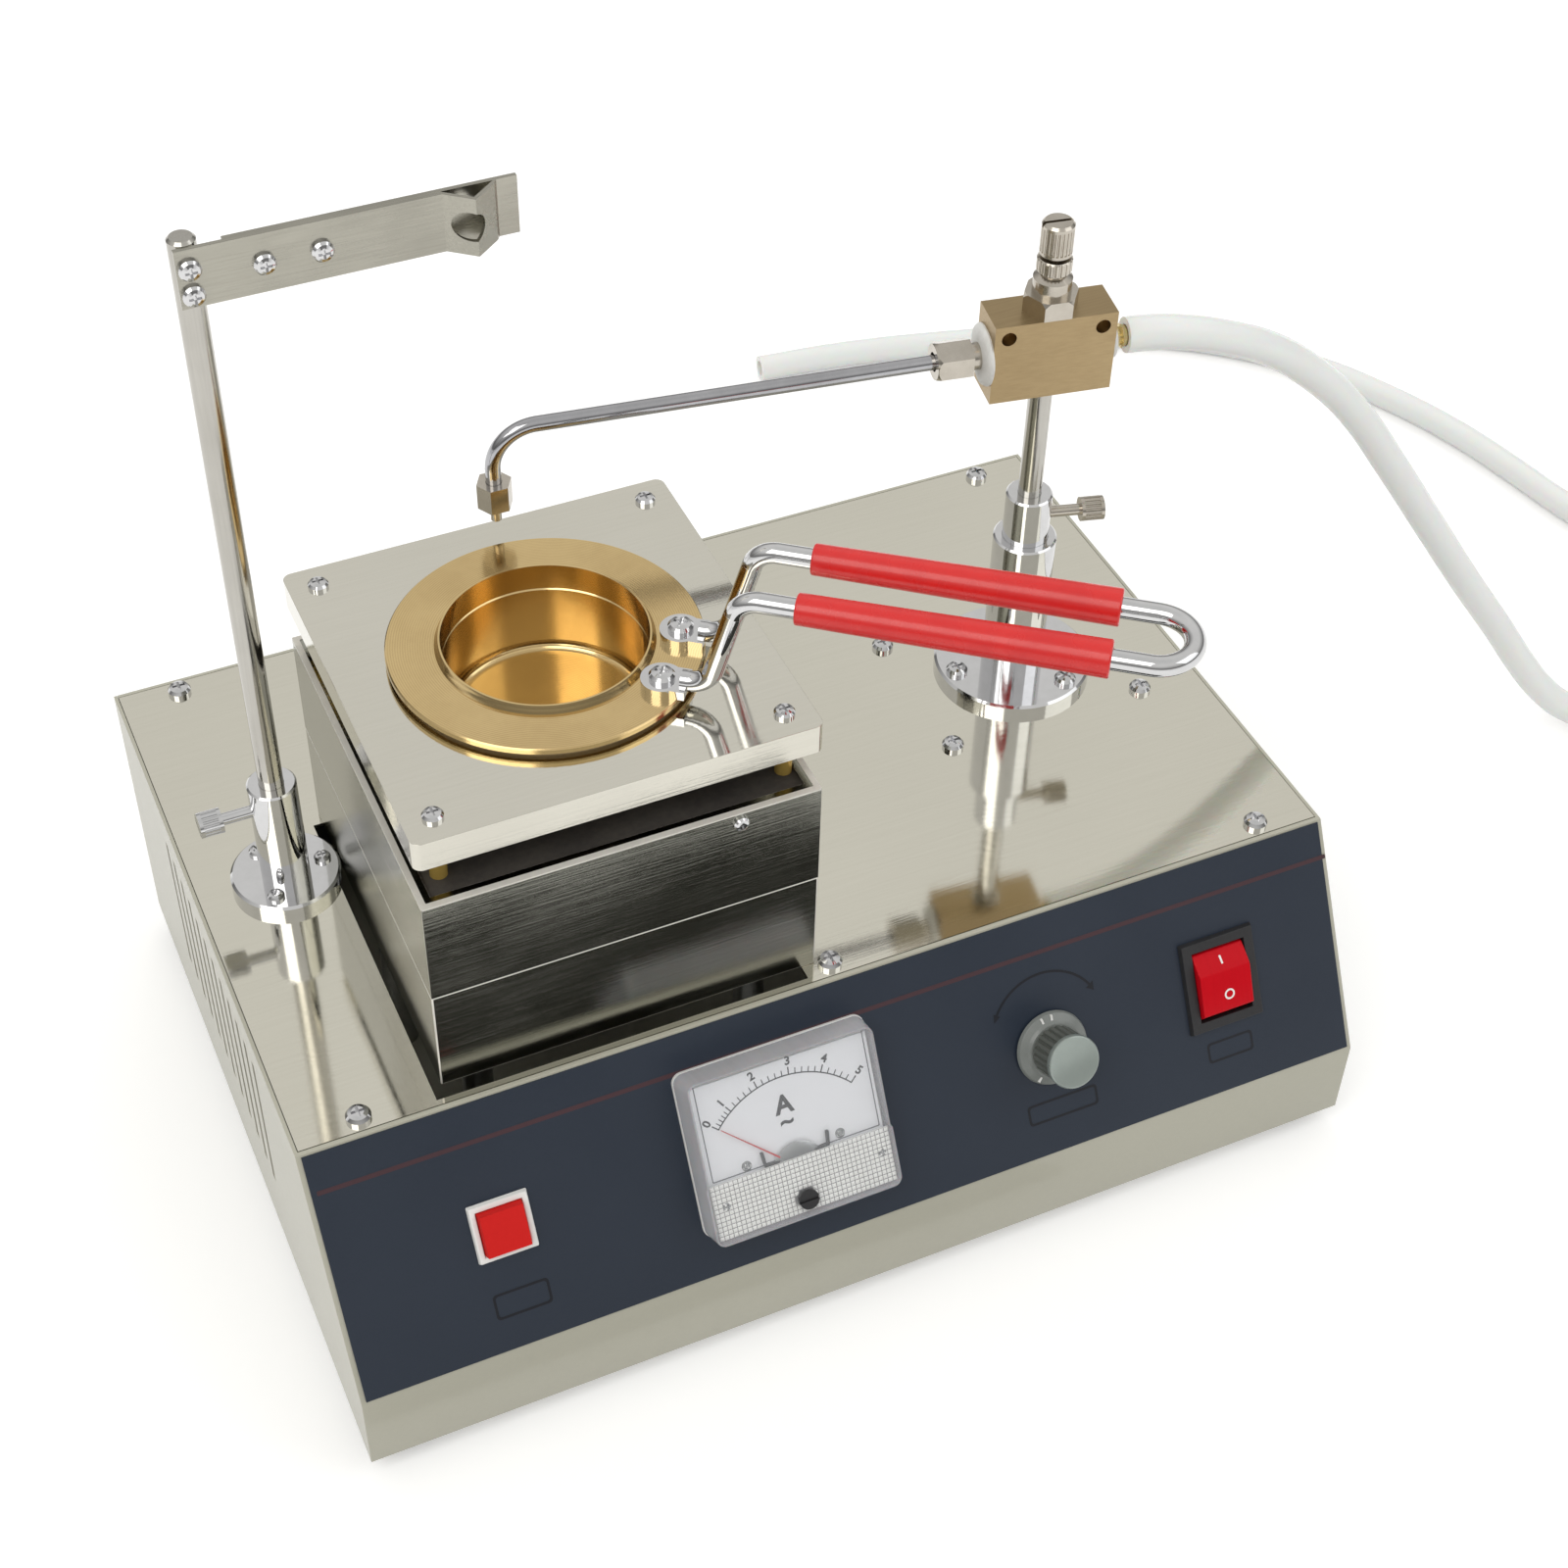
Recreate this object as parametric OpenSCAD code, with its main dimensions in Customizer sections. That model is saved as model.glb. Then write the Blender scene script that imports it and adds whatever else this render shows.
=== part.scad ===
// Open-cup flash point tester: a low painted case with a polished deck, an electric
// cup heater, a clamp stand for the thermometer and a swinging gas arm.
// Origin: middle of the footprint on the table. +X right, +Y back, +Z up. Millimetres.
// Places on the deck are measured from its front left corner, at its top face.
// Places on the front panel are measured from the deck's left edge and down the slope.

/* [Case] */
// width of the painted case
case_w = 361; // [320:1:420]
// depth of the painted case
case_d = 262.3; // [240:0.1:320]
// height of the case, underside to deck
case_h = 107.5; // [95:0.5:140]
// thickness of the painted sheet
sheet = 1.2; // [0.8:0.1:2]
// depth taken by the sloping front
front_run = 42.2; // [30:0.1:60]
// height taken by the sloping front
front_drop = 75.3; // [68:0.1:85]
// clearance between a sheet and what fits inside it
sheet_gap = 0.12; // [0.05:0.01:0.5]
// gap between the deck plate and the painted edge
deck_gap = 0.25; // [0.1:0.05:1]
// width of the ledges that carry the deck
ledge_w = 11; // [8:0.5:16]
// length of a side vent slot
vent_l = 60; // [30:1:70]
// width of a side vent slot
vent_w = 3.2; // [2:0.1:5]
// distance between vent slots
vent_pitch = 9.5; // [7:0.5:14]
// number of vent slots on each side
vent_n = 12; // [4:1:13]
// distance from the deck's front edge to the first vent slot
vent_y = 50; // [30:1:60]
// depth of the first vent below the deck
vent_z = 14; // [10:1:30]

/* [Feet and floor] */
// diameter of a foot
foot_d = 20; // [14:1:26]
// height of a foot
foot_h = 8; // [5:0.5:15]
// distance of the foot centres from the case sides
foot_inset = 14.5; // [13:0.5:40]

/* [Deck] */
// thickness of the deck plate
deck_t = 1.5; // [1:0.1:3]
// distance of the corner screws from the deck's side edges
deck_screw_x = 20.5; // [12:0.5:40]
// distance of the deck screws from the deck's long edges
deck_screw_y = 5.2; // [4.8:0.1:5.5]
// head diameter of the deck screws
deck_head_d = 8; // [6:0.1:9]
// left edge of the opening under the heater
opening_x = 44.3; // [43:0.1:46]
// width of the opening under the heater
opening_w = 124.6; // [118:0.1:126]
// width of the deck strip in front of the opening
opening_front = 2; // [1.5:0.1:4]
// depth of the opening under the heater
opening_d = 127.5; // [120:0.5:130]

/* [Heater box] */
// middle of the heater box from the deck's left edge
box_x = 110.5; // [108:0.5:113]
// middle of the heater box from the deck's front edge
box_y = 70.8; // [68:0.1:73]
// width of the heater box
box_w = 126; // [120:0.5:132]
// depth of the heater box
box_d = 127.4; // [122:0.1:133]
// height of the lower tier
tier_low = 40.1; // [30:0.1:60]
// height of the upper tier
tier_up = 38.7; // [30:0.1:60]
// thickness of the box sheet
box_t = 1; // [0.8:0.1:1.5]
// width of the folded rim
rim_w = 4; // [2:0.5:6]
// diameter of a post under the box
post_d = 10; // [6:1:16]
// distance of the posts from the box sides
post_inset = 16; // [12:1:30]
// clearance round the insulating block
block_gap = 0.5; // [0.2:0.1:1]
// distance from the rim down to the block's top
block_drop = 1.8; // [1.2:0.1:4]
// diameter of the well in the block
well_d = 80; // [76:1:90]
// depth of the well
well_depth = 13; // [11:0.5:20]
// wire diameter of the heating coil
coil_d = 3; // [2:0.5:4]
// turns of the heating coil
coil_turns = 4; // [3:1:5]
// distance between the turns
coil_pitch = 6.5; // [5:0.5:8]

/* [Heating plate] */
// middle of the plate and the cup from the deck's left edge
cup_x = 112.1; // [110:0.1:114]
// middle of the plate and the cup from the deck's front edge
cup_y = 75.7; // [74:0.1:78]
// side of the square plate
plate_w = 128.2; // [124:0.1:140]
// height of the plate's top above the deck
plate_z = 100.2; // [96:0.1:110]
// thickness of the plate
plate_t = 1.6; // [1:0.1:3]
// depth of the plate's skirt
skirt_h = 10.6; // [6:0.1:14]
// corner radius of the plate
plate_r = 3; // [2:0.5:6]
// distance of the plate screws from the plate's edges
plate_screw = 9.3; // [8:0.1:12]
// diameter of the brass stand-offs
standoff_d = 5.5; // [5:0.1:6]
// diameter of the hole for the cup
plate_bore = 70; // [69:0.5:71]
// thickness of the seat ring under the flange
seat_t = 1.5; // [0.5:0.1:3]
// outer diameter of the seat ring
seat_d = 94; // [84:1:96]

/* [Cup] */
// inside diameter of the cup
cup_bore = 63.5; // [62.5:0.1:64.5]
// wall of the cup
cup_wall = 2.4; // [2:0.1:2.6]
// inside depth of the cup
cup_depth = 33.6; // [32.5:0.1:34]
// thickness of the bottom
cup_floor = 3; // [2.8:0.1:3.5]
// diameter of the flange
flange_d = 97; // [92:0.5:98]
// thickness of the flange
flange_t = 2.3; // [1.8:0.1:3.4]
// height of the rim above the flange
rim_h = 2.4; // [1.5:0.1:3]
// distance of the filling mark below the rim
mark_drop = 9.5; // [9:0.1:10]
// travel of the cup as it is lifted out
cup_lift = 60; // [40:1:80]

/* [Handle] */
// direction of the handle, measured from +X
handle_dir = -36.8; // [-45:0.1:-30]
// distance of the lug screws from the middle of the cup, along the handle
handle_r = 39.4; // [38.5:0.1:40]
// half the distance between the two rods
handle_half = 11.4; // [10.5:0.1:12.5]
// diameter of the handle rod
handle_rod_d = 6.4; // [5:0.1:7]
// width of a flattened lug
lug_w = 13; // [12:0.5:13]
// thickness of a flattened lug
lug_t = 3; // [2:0.1:4]
// height of the grips above the lugs
handle_rise = 34.8; // [28:0.1:45]
// steepness of the rising stretch
handle_steep = 75; // [60:1:85]
// bend radius of the rod
handle_bend = 8; // [6:0.5:10]
// distance from the lug screws to the end of the loop
handle_l = 156; // [145:1:180]
// start of the grip sleeves along the handle
grip_from = 40; // [36:1:60]
// end of the grip sleeves along the handle
grip_to = 130.5; // [100:0.5:135]
// diameter of the grips at the cup end
grip_d1 = 9.5; // [8:0.1:12]
// diameter of the grips at the far end
grip_d2 = 11.3; // [9:0.1:13]

/* [Thermometer stand] */
// middle of the left stand from the deck's left edge
left_x = 29.3; // [26:0.1:30]
// distance of both stands from the deck's front edge
stand_y = 110; // [105:0.5:115]
// diameter of the left foot flange
left_flange_d = 36; // [32:1:40]
// thickness of the foot flanges
stand_flange_t = 4; // [3:0.5:6]
// pitch radius of the left flange screws
left_screw_r = 12.6; // [12.3:0.1:12.9]
// diameter of the left sleeve
left_sleeve_d = 16; // [14:0.5:18]
// height of the left sleeve above the deck
left_sleeve_z = 44; // [38:1:60]
// diameter of both rods
rod_d = 8; // [6:0.5:9]
// running clearance of the rods, on the radius
rod_fit = 0.06; // [0.02:0.01:0.1]
// height of the thermometer rod above the deck
left_rod_z = 246; // [240:1:300]
// length of the thermometer rod below the deck
left_rod_low = 2; // [0:1:20]
// height of the left clamping screw
left_thumb_z = 34; // [28:1:38]
// lower edge of the clamp strips above the deck
clamp_z = 227; // [215:1:235]
// height of the clamp strips
clamp_h = 18; // [15:0.5:22]
// thickness of the clamp strips
clamp_t = 1.5; // [1:0.1:2]
// distance from the rod to the jaw
jaw_x = 78; // [74:0.5:84]
// length of the rear strip from the rod
rear_strip_l = 92.5; // [88:0.5:100]
// depth of the folded jaw
jaw_depth = 6; // [3:0.5:7]
// half width of the folded jaw
jaw_half = 7.5; // [6:0.5:9]
// diameter of the hole for the thermometer
jaw_hole_d = 9; // [6:0.5:10]

/* [Gas arm stand] */
// middle of the right stand from the deck's left edge
right_x = 299.15; // [296:0.05:302]
// diameter of the right foot flange
right_flange_d = 56; // [50:1:60]
// pitch radius of the right flange screws
right_screw_r = 22.3; // [20:0.1:23.5]
// outer diameter of the bearing tube
bearing_d = 22; // [20:0.5:24]
// height of the bearing tube above the deck
bearing_z = 60; // [50:1:65]
// diameter of the swinging collar
collar_d = 16; // [14:0.5:17]
// height of the collar above the deck
collar_z = 78.4; // [74:0.1:90]
// height of the right clamping screw
right_thumb_z = 68.8; // [67:0.1:72]
// direction of the right clamping screw
right_thumb_dir = -15; // [-40:1:20]
// angle of the arm swing towards the cup
swing_in = 26; // [20:1:27]
// angle of the arm swing away from the cup
swing_out = 10; // [5:1:20]
// travel of the arm rod in its collar
arm_rise = 25; // [10:1:30]

/* [Valve block] */
// length of the brass block
block_l = 41.4; // [38:0.1:46]
// depth of the brass block
block_d = 16; // [15:0.5:20]
// height of the brass block
block_h = 29.3; // [24:0.1:34]
// underside of the block above the deck
block_z = 124; // [118:0.5:135]
// direction of the block's left end, measured from +X
block_dir = 170.6; // [168:0.1:173]
// height of the gas passage above the block's underside
passage_z = 14; // [10:0.1:16]
// diameter of the gas passage
passage_d = 3; // [2:0.5:4]
// width across flats of the needle valve body
valve_af = 16.4; // [13:0.1:17]
// diameter of the valve knob
valve_knob_d = 10.6; // [9:0.1:12]

/* [Gas tube and hose] */
// outer diameter of the gas tube
tube_d = 5; // [4:0.1:6]
// bend radius of the gas tube
tube_bend = 14; // [11:0.5:20]
// upward slope of the gas tube
tube_rise = 2; // [0:0.1:4]
// distance of the nozzle from the swing axis
nozzle_r = 184; // [180:0.5:186]
// direction of the nozzle at rest, measured from +X
nozzle_dir = 173.8; // [172:0.1:174]
// height of the nozzle tip above the cup rim
nozzle_gap = 2.5; // [2:0.1:6]
// width across flats of the nozzle nut
nozzle_af = 10; // [8:0.1:10.4]
// diameter of the nozzle tip
tip_d = 3.5; // [2.5:0.1:4.5]
// outer diameter of the hose
hose_d = 12; // [11:0.5:13]
// outer diameter of the hose barb
barb_d = 8; // [6:0.1:9]

/* [Front panel] */
// thickness of the panel overlay
overlay_t = 0.5; // [0.3:0.1:1]
// upper edge of the overlay down the slope
overlay_s = 0.8; // [0.5:0.1:3]
// middle of the meter from the deck's left edge
meter_x = 149.6; // [140:0.1:160]
// middle of the meter down the slope
meter_s = 42.6; // [40:0.1:45]
// width of the meter
meter_w = 66.5; // [60:0.5:72]
// height of the meter
meter_l = 57; // [54:0.5:60]
// how far the meter stands proud
meter_h = 12; // [10:0.5:14]
// diameter of the meter barrel behind the panel
meter_barrel_d = 45; // [38:1:50]
// middle of the heat knob from the deck's left edge
knob_x = 246.5; // [240:0.5:252]
// middle of the heat knob down the slope
knob_s = 47.4; // [42:0.1:50]
// diameter of the knob skirt
knob_skirt_d = 26; // [22:0.5:30]
// diameter of the knob cap
knob_cap_d = 18.4; // [14:0.1:20]
// height of the knob
knob_h = 17; // [13:0.5:22]
// turn of the heat knob
knob_turn = 300; // [270:10:300]
// middle of the power rocker from the deck's right edge
rocker_x = 45.7; // [38:0.1:53]
// middle of the power rocker down the slope
rocker_s = 44.4; // [40:0.1:48]
// width of the rocker frame
rocker_w = 28.5; // [26:0.5:32]
// height of the rocker frame
rocker_l = 33.5; // [31:0.5:36]
// tilt of the rocker from one end to the other
rocker_tilt = 14; // [8:1:18]
// middle of the scan key from the deck's left edge
scan_x = 54; // [48:0.5:60]
// middle of the scan key down the slope
scan_s = 43.5; // [38:0.5:48]
// side of the scan key frame
scan_w = 20; // [18:0.5:22]
// side of the scan key cap
scan_key_w = 15; // [12:0.5:16]
// travel of the scan key
scan_travel = 2.5; // [1.5:0.5:3]

/* [Inside and back] */
// side of the square motor bracket pattern, left to right
motor_pitch_x = 75; // [70:0.5:80]
// motor bracket pattern, front to back
motor_pitch_y = 56.4; // [50:0.1:60]
// diameter of the swing motor
motor_d = 50; // [45:1:52]
// height of the swing motor
motor_h = 28; // [20:1:34]
// shift of the motor bracket pattern to the left of the swing axis
motor_shift_x = 1.5; // [0:0.1:3]
// shift of the motor bracket pattern in front of the swing axis
motor_shift_y = 2.2; // [0:0.1:3]
// depth of the motor bracket below the deck
bracket_h = 32; // [28:1:40]
// middle of the mains inlet from the case's left side
inlet_x = 60; // [45:1:90]
// middle of the mains inlet above the table
inlet_z = 45; // [32:1:60]
// how far the inlet flange stands proud of the back
inlet_proud = 2.5; // [2:0.1:4]

/* [Hidden] */

$fn = 48;
e = 0.01;                       // overshoot of a cutting tool
seat_fit = 0.1;                 // clearance of a screw in its hole, on the radius
lap = 0.3;                      // how far a straight length of rod runs into its bend
bend_thin = 0.05;               // a drawn bend is this much thinner than the straight rod
deck_z = foot_h + case_h;
panel_tilt = atan2(front_drop, front_run);
slope_l = norm([front_run, front_drop]);
lip_w = sheet / sin(panel_tilt) + deck_gap;
deck_w = case_w - 2 * sheet - 2 * deck_gap;
ledge_front = -deck_gap - (deck_t + sheet) * front_run / front_drop - 0.15;
deck_d = case_d - front_run - lip_w - sheet - deck_gap;
front_y = -(case_d + inlet_proud) / 2;
back_y = front_y + case_d;
slope_y = front_y + front_run;
deck_x0 = -deck_w / 2;
deck_y0 = slope_y + lip_w;
in_w = case_w - 2 * sheet;

box_z = tier_low + tier_up;
seat_z = plate_z + seat_t;
flange_z = seat_z + flange_t;
rim_z = flange_z + rim_h;
cup_r = cup_bore / 2;
tip_z = rim_z + nozzle_gap;

passage_up = block_z + passage_z;
fitting_l = 17.3;
tube_from = [right_x, stand_y] + (block_l / 2 + 9.3) * [cos(block_dir), sin(block_dir)];
tube_to = [right_x, stand_y] + nozzle_r * [cos(nozzle_dir), sin(nozzle_dir)];
tube_way = tube_to - tube_from;
tube_run = (norm(tube_way) - tube_bend * (1 + sin(tube_rise))) / cos(tube_rise);
nozzle_nut_h = 9;
nozzle_nut_z = tip_z + 6;
tube_top = passage_up + tube_run * sin(tube_rise);
tube_down = tube_top - tube_bend * cos(tube_rise) - nozzle_nut_z - 2;

red = [0.80, 0.16, 0.16];
ivory = [0.72, 0.71, 0.63];
slate = [0.20, 0.22, 0.27];
steel = [0.75, 0.75, 0.73];
chrome = [0.80, 0.80, 0.80];
brass = [0.72, 0.60, 0.36];
black = [0.10, 0.10, 0.11];

module at_deck(x, y, z = 0) translate([deck_x0 + x, deck_y0 + y, deck_z + z]) children();

module on_panel(x, s, h = 0)
    translate([deck_x0 + x, slope_y, deck_z]) rotate([panel_tilt, 0, 0])
        translate([0, -s, h]) children();

module plate(w, d, h, r) {
    // a flat plate with round corners, centred, standing on z = 0
    translate([-w / 2 + r, -d / 2, 0]) cube([w - 2 * r, d, h]);
    translate([-w / 2, -d / 2 + r, 0]) cube([w, d - 2 * r, h]);
    for (x = [-1, 1], y = [-1, 1])
        translate([x * (w / 2 - r), y * (d / 2 - r), 0]) cylinder(r = r, h = h);
}

module block(w, d, h) translate([-w / 2, -d / 2, 0]) cube([w, d, h]);

module tube(d, bore, h) difference() {
    cylinder(d = d, h = h);
    translate([0, 0, -e]) cylinder(d = bore, h = h + 2 * e);
}

module pan_screw(head, head_h, shank, long) {
    // cross-recessed screw, head above z = 0
    difference() {
        rotate_extrude() polygon([
            [0, 0], [head / 2, 0], [head / 2, head_h * 0.45],
            [head * 0.40, head_h * 0.82], [head * 0.24, head_h], [0, head_h]]);
        for (a = [0, 90]) rotate([0, 0, a])
            translate([-head * 0.27, -head * 0.06, head_h * 0.45])
                cube([head * 0.54, head * 0.12, head_h]);
    }
    translate([0, 0, -long]) cylinder(d = shank, h = long);
}

module thumbscrew(shaft_d, shaft_l, head_d, head_l, ribs) {
    // knurled screw along +X, its tip at the origin
    rotate([0, 90, 0]) cylinder(d = shaft_d, h = shaft_l);
    translate([shaft_l, 0, 0]) rotate([0, 90, 0]) difference() {
        cylinder(d = head_d, h = head_l);
        for (i = [0 : ribs - 1]) rotate([0, 0, i * 360 / ribs])
            translate([head_d / 2, 0, 1.2]) cylinder(d = 0.9, h = head_l - 2.4);
    }
}

module rod_run(steps, d, i = 0) {
    // a round rod along +X: each step is [straight length, turn up, bend radius]
    long = steps[i][0];
    turn = steps[i][1];
    bend = steps[i][2];
    back = i == 0 ? 0 : lap;
    translate([-back, 0, 0]) rotate([0, 90, 0])
        cylinder(d = d, h = long + back + (turn == 0 ? 0 : lap));
    if (turn != 0)
        translate([long, 0, 0]) rotate([turn < 0 ? 180 : 0, 0, 0]) translate([0, 0, bend])
            rotate([90, 0, 0]) rotate([0, 0, -90]) rotate_extrude(angle = abs(turn))
                translate([bend, 0]) circle(d = d - bend_thin);
    if (i < len(steps) - 1)
        translate([long + bend * sin(abs(turn)), 0, sign(turn) * bend * (1 - cos(turn))])
            rotate([0, -turn, 0]) rod_run(steps, d, i + 1);
}

// points of a smooth curve through the given ones, n to each stretch
function blend_point(a, b, c, d, t) = 0.5 * (2 * b + (c - a) * t
    + (2 * a - 5 * b + 4 * c - d) * t * t + (3 * b - a - 3 * c + d) * t * t * t);
function smooth_path(p, n) = [
    for (i = [0 : len(p) - 2], j = [0 : n - 1])
        blend_point(p[max(i - 1, 0)], p[i], p[i + 1], p[min(i + 2, len(p) - 1)], j / n),
    p[len(p) - 1]];
function unit(v) = v / norm(v);
function heading(p, i) = unit(p[min(i + 1, len(p) - 1)] - p[max(i - 1, 0)]);
function ring(c, t, r, n) =
    let (side = unit(cross(t, [0, 0, 1])), up = cross(side, t))
    [for (k = [0 : n - 1]) c + r * (cos(k * 360 / n) * side + sin(k * 360 / n) * up)];

module sweep(p, d, n) {
    // a round cord of n sides along the points p
    m = len(p);
    corners = [for (i = [0 : m - 1], q = ring(p[i], heading(p, i), d / 2, n)) q];
    sides = [for (i = [0 : m - 2], k = [0 : n - 1])
        let (a = i * n + k, b = i * n + (k + 1) % n) each [[a, b, b + n], [a, b + n, a + n]]];
    first = [for (k = [1 : n - 2]) [0, k + 1, k]];
    last = [for (k = [1 : n - 2]) [(m - 1) * n, (m - 1) * n + k, (m - 1) * n + k + 1]];
    polyhedron(points = corners, faces = concat(sides, first, last));
}

// the hose lies on the table: from the barb down beside the case, round in a loop
// and behind the case to its cut end
hose_path = [
    [147, 17, 253.5], [154, 15.8, 253.3], [167, 14.3, 251], [184, 13.6, 245],
    [204, 14, 234.5], [225, 14.6, 218], [246, 15.5, 196], [271, 16, 162], [296, 17, 126.5],
    [321, 17.5, 91], [345, 16.8, 58], [359, 14.5, 37.5], [370, 11, 23], [381, 5.5, 13],
    [395, -1, 7.3], [414, -5, 6.1], [438, -2, 6.1], [460, 10, 6.1], [476, 30, 6.1],
    [483, 56, 6.1], [481, 84, 6.1], [474, 105, 6.1], [468, 128, 6.1], [463, 154, 6.1],
    [455, 187, 6.1], [442, 221, 6.1], [420, 260, 6.1], [388, 294, 6.1], [344, 320, 6.1],
    [301, 335, 6.1], [258, 347, 6.1], [216, 356, 6.1], [173, 361, 6.1]
];
hose_points = smooth_path(hose_path, 2);
hose_sides = 12;

// corner places of a rectangular screw pattern
function pattern(w, d) = [for (x = [-1, 1], y = [-1, 1]) [x * w / 2, y * d / 2]];
deck_screw_places = concat(
    [for (x = [deck_screw_x, deck_w - deck_screw_x], y = [deck_screw_y, deck_d - deck_screw_y])
        [x, y]],
    [for (y = [deck_screw_y, deck_d - deck_screw_y]) [deck_w / 2 - 1, y]]);
plate_screw_places = pattern(plate_w - 2 * plate_screw, plate_w - 2 * plate_screw);
bracket_places = pattern(motor_pitch_x, motor_pitch_y);
post_places = pattern(box_w - 2 * post_inset, box_d - 2 * post_inset);
inlet_screw_pitch = 40;
rear_screw_z = [foot_h + 14, foot_h + case_h - 22];

module case_shell() color(ivory) {
    // front, sloping panel and both sides folded from one sheet, with ledges for the deck
    slope_in = sheet / sin(panel_tilt);
    lip_top = deck_z - front_drop;
    bend_z = lip_top - (slope_in - sheet) * front_drop / front_run;
    difference() {
        translate([-case_w / 2, 0, 0]) rotate([90, 0, 90]) linear_extrude(case_w) polygon([
            [front_y, foot_h], [back_y, foot_h], [back_y, deck_z],
            [slope_y, deck_z], [front_y, lip_top]]);
        translate([-in_w / 2, 0, 0]) rotate([90, 0, 90]) linear_extrude(in_w) polygon([
            [front_y + sheet, foot_h - 1], [back_y + 1, foot_h - 1], [back_y + 1, deck_z + 1],
            [slope_y + slope_in + front_run / front_drop, deck_z + 1],
            [front_y + sheet, bend_z]]);
        for (side = [-1, 1], i = [0 : vent_n - 1])
            translate([side * case_w / 2, deck_y0 + vent_y + i * vent_pitch,
                       deck_z - vent_z - vent_l / 2])
                cube([4 * sheet, vent_w, vent_l], center = true);
        on_panel(meter_x, meter_s, -3) cylinder(d = meter_barrel_d + 1, h = 6);
        on_panel(knob_x, knob_s, -3) cylinder(d = 10, h = 6);
        on_panel(deck_w - rocker_x, rocker_s, -3) block(rocker_w - 4, rocker_l - 4, 6);
        on_panel(scan_x, scan_s, -3) block(scan_w - 3, scan_w - 3, 6);
    }
    difference() {
        union() {
            for (side = [0, 1])
                at_deck(side * (deck_w - ledge_w) - (1 - 2 * side) * deck_gap, 0,
                        -deck_t - sheet)
                    cube([ledge_w, deck_d, sheet]);
            at_deck(0, ledge_front, -deck_t - sheet)
                cube([deck_w, ledge_w - ledge_front, sheet]);
        }
        at_deck(opening_x - 1, 1, -deck_t - 2 * sheet) cube([opening_w + 2, deck_d, 3 * sheet]);
        for (p = deck_screw_places)
            at_deck(p[0], p[1], -deck_t - 2 * sheet) cylinder(d = 4 + 2 * seat_fit, h = 9);
    }
}

module base_plate() color(ivory) {
    // floor tray between the sides, turned up at all four edges
    w = in_w - 2 * sheet_gap;
    d = case_d - 2 * sheet - 2 * sheet_gap;
    translate([0, front_y + case_d / 2, foot_h]) difference() {
        block(w, d, 12);
        translate([0, 0, sheet]) block(w - 2 * sheet, d - 2 * sheet, 12);
        for (p = pattern(case_w - 2 * foot_inset, case_d - 2 * foot_inset))
            translate([p[0], p[1], -1]) cylinder(d = 4 + 2 * seat_fit, h = 5);
        for (i = [-4 : 4]) translate([i * 22, 60, -1]) block(4, 50, 5);
    }
}

module rear_panel() color(ivory) {
    // back sheet with a ledge under the deck and an opening for the mains inlet
    w = in_w - 2 * sheet_gap;
    difference() {
        union() {
            translate([-w / 2, back_y - sheet, foot_h]) cube([w, sheet, case_h]);
            translate([-w / 2 + ledge_w + 1, back_y - sheet - ledge_w, deck_z - deck_t - sheet])
                cube([w - 2 * ledge_w - 2, ledge_w + e, sheet]);
            for (side = [-1, 1])
                translate([side * (w - sheet) / 2, back_y - 6.5, foot_h + case_h / 2])
                    cube([sheet, 12, case_h - 32], center = true);
        }
        translate([inlet_x - case_w / 2, back_y, inlet_z]) cube([28, 9, 20.4], center = true);
        for (x = [-1, 1])
            translate([inlet_x - case_w / 2 + x * inlet_screw_pitch / 2, back_y, inlet_z])
                rotate([90, 0, 0]) cylinder(d = 3 + 2 * seat_fit, h = 9, center = true);
        for (i = [0 : 9])
            translate([10 + i * 12, back_y, foot_h + case_h * 0.55])
                cube([4, 9, case_h * 0.42], center = true);
        for (p = deck_screw_places)
            at_deck(p[0], p[1], -deck_t - 2 * sheet) cylinder(d = 4 + 2 * seat_fit, h = 9);
    }
}

module deck_plate() color(steel) difference() {
    at_deck(0, 0, -deck_t) cube([deck_w, deck_d, deck_t]);
    at_deck(opening_x, opening_front, -2 * deck_t) cube([opening_w, opening_d, 4 * deck_t]);
    at_deck(left_x, stand_y, -2 * deck_t) cylinder(d = rod_d + 2, h = 4 * deck_t);
    at_deck(right_x, stand_y, -2 * deck_t) cylinder(d = collar_d + 2, h = 4 * deck_t);
    for (p = deck_screw_places)
        at_deck(p[0], p[1], -2 * deck_t) cylinder(d = 4 + 2 * seat_fit, h = 4 * deck_t);
    for (p = bracket_places)
        at_deck(right_x + p[0] - motor_shift_x, stand_y + p[1] - motor_shift_y, -2 * deck_t)
            cylinder(d = 4 + 2 * seat_fit, h = 4 * deck_t);
    for (a = [0, 120, 240])
        at_deck(left_x, stand_y, -2 * deck_t) rotate([0, 0, a])
            translate([left_screw_r, 0, 0]) cylinder(d = 3 + 2 * seat_fit, h = 4 * deck_t);
    for (a = [60, 180, 300])
        at_deck(right_x, stand_y, -2 * deck_t) rotate([0, 0, a])
            translate([right_screw_r, 0, 0]) cylinder(d = 4 + 2 * seat_fit, h = 4 * deck_t);
}

module front_overlay() color(slate) difference() {
    on_panel(deck_w / 2, slope_l - 1.2 - (slope_l - 1.2 - overlay_s) / 2)
        block(deck_w - 0.4, slope_l - 1.2 - overlay_s, overlay_t);
    on_panel(meter_x, meter_s, -1) cylinder(d = meter_barrel_d + 1, h = 3);
    on_panel(knob_x, knob_s, -1) cylinder(d = 10, h = 3);
    on_panel(deck_w - rocker_x, rocker_s, -1) block(rocker_w - 4, rocker_l - 4, 3);
    on_panel(scan_x, scan_s, -1) block(scan_w - 3, scan_w - 3, 3);
}

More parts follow.
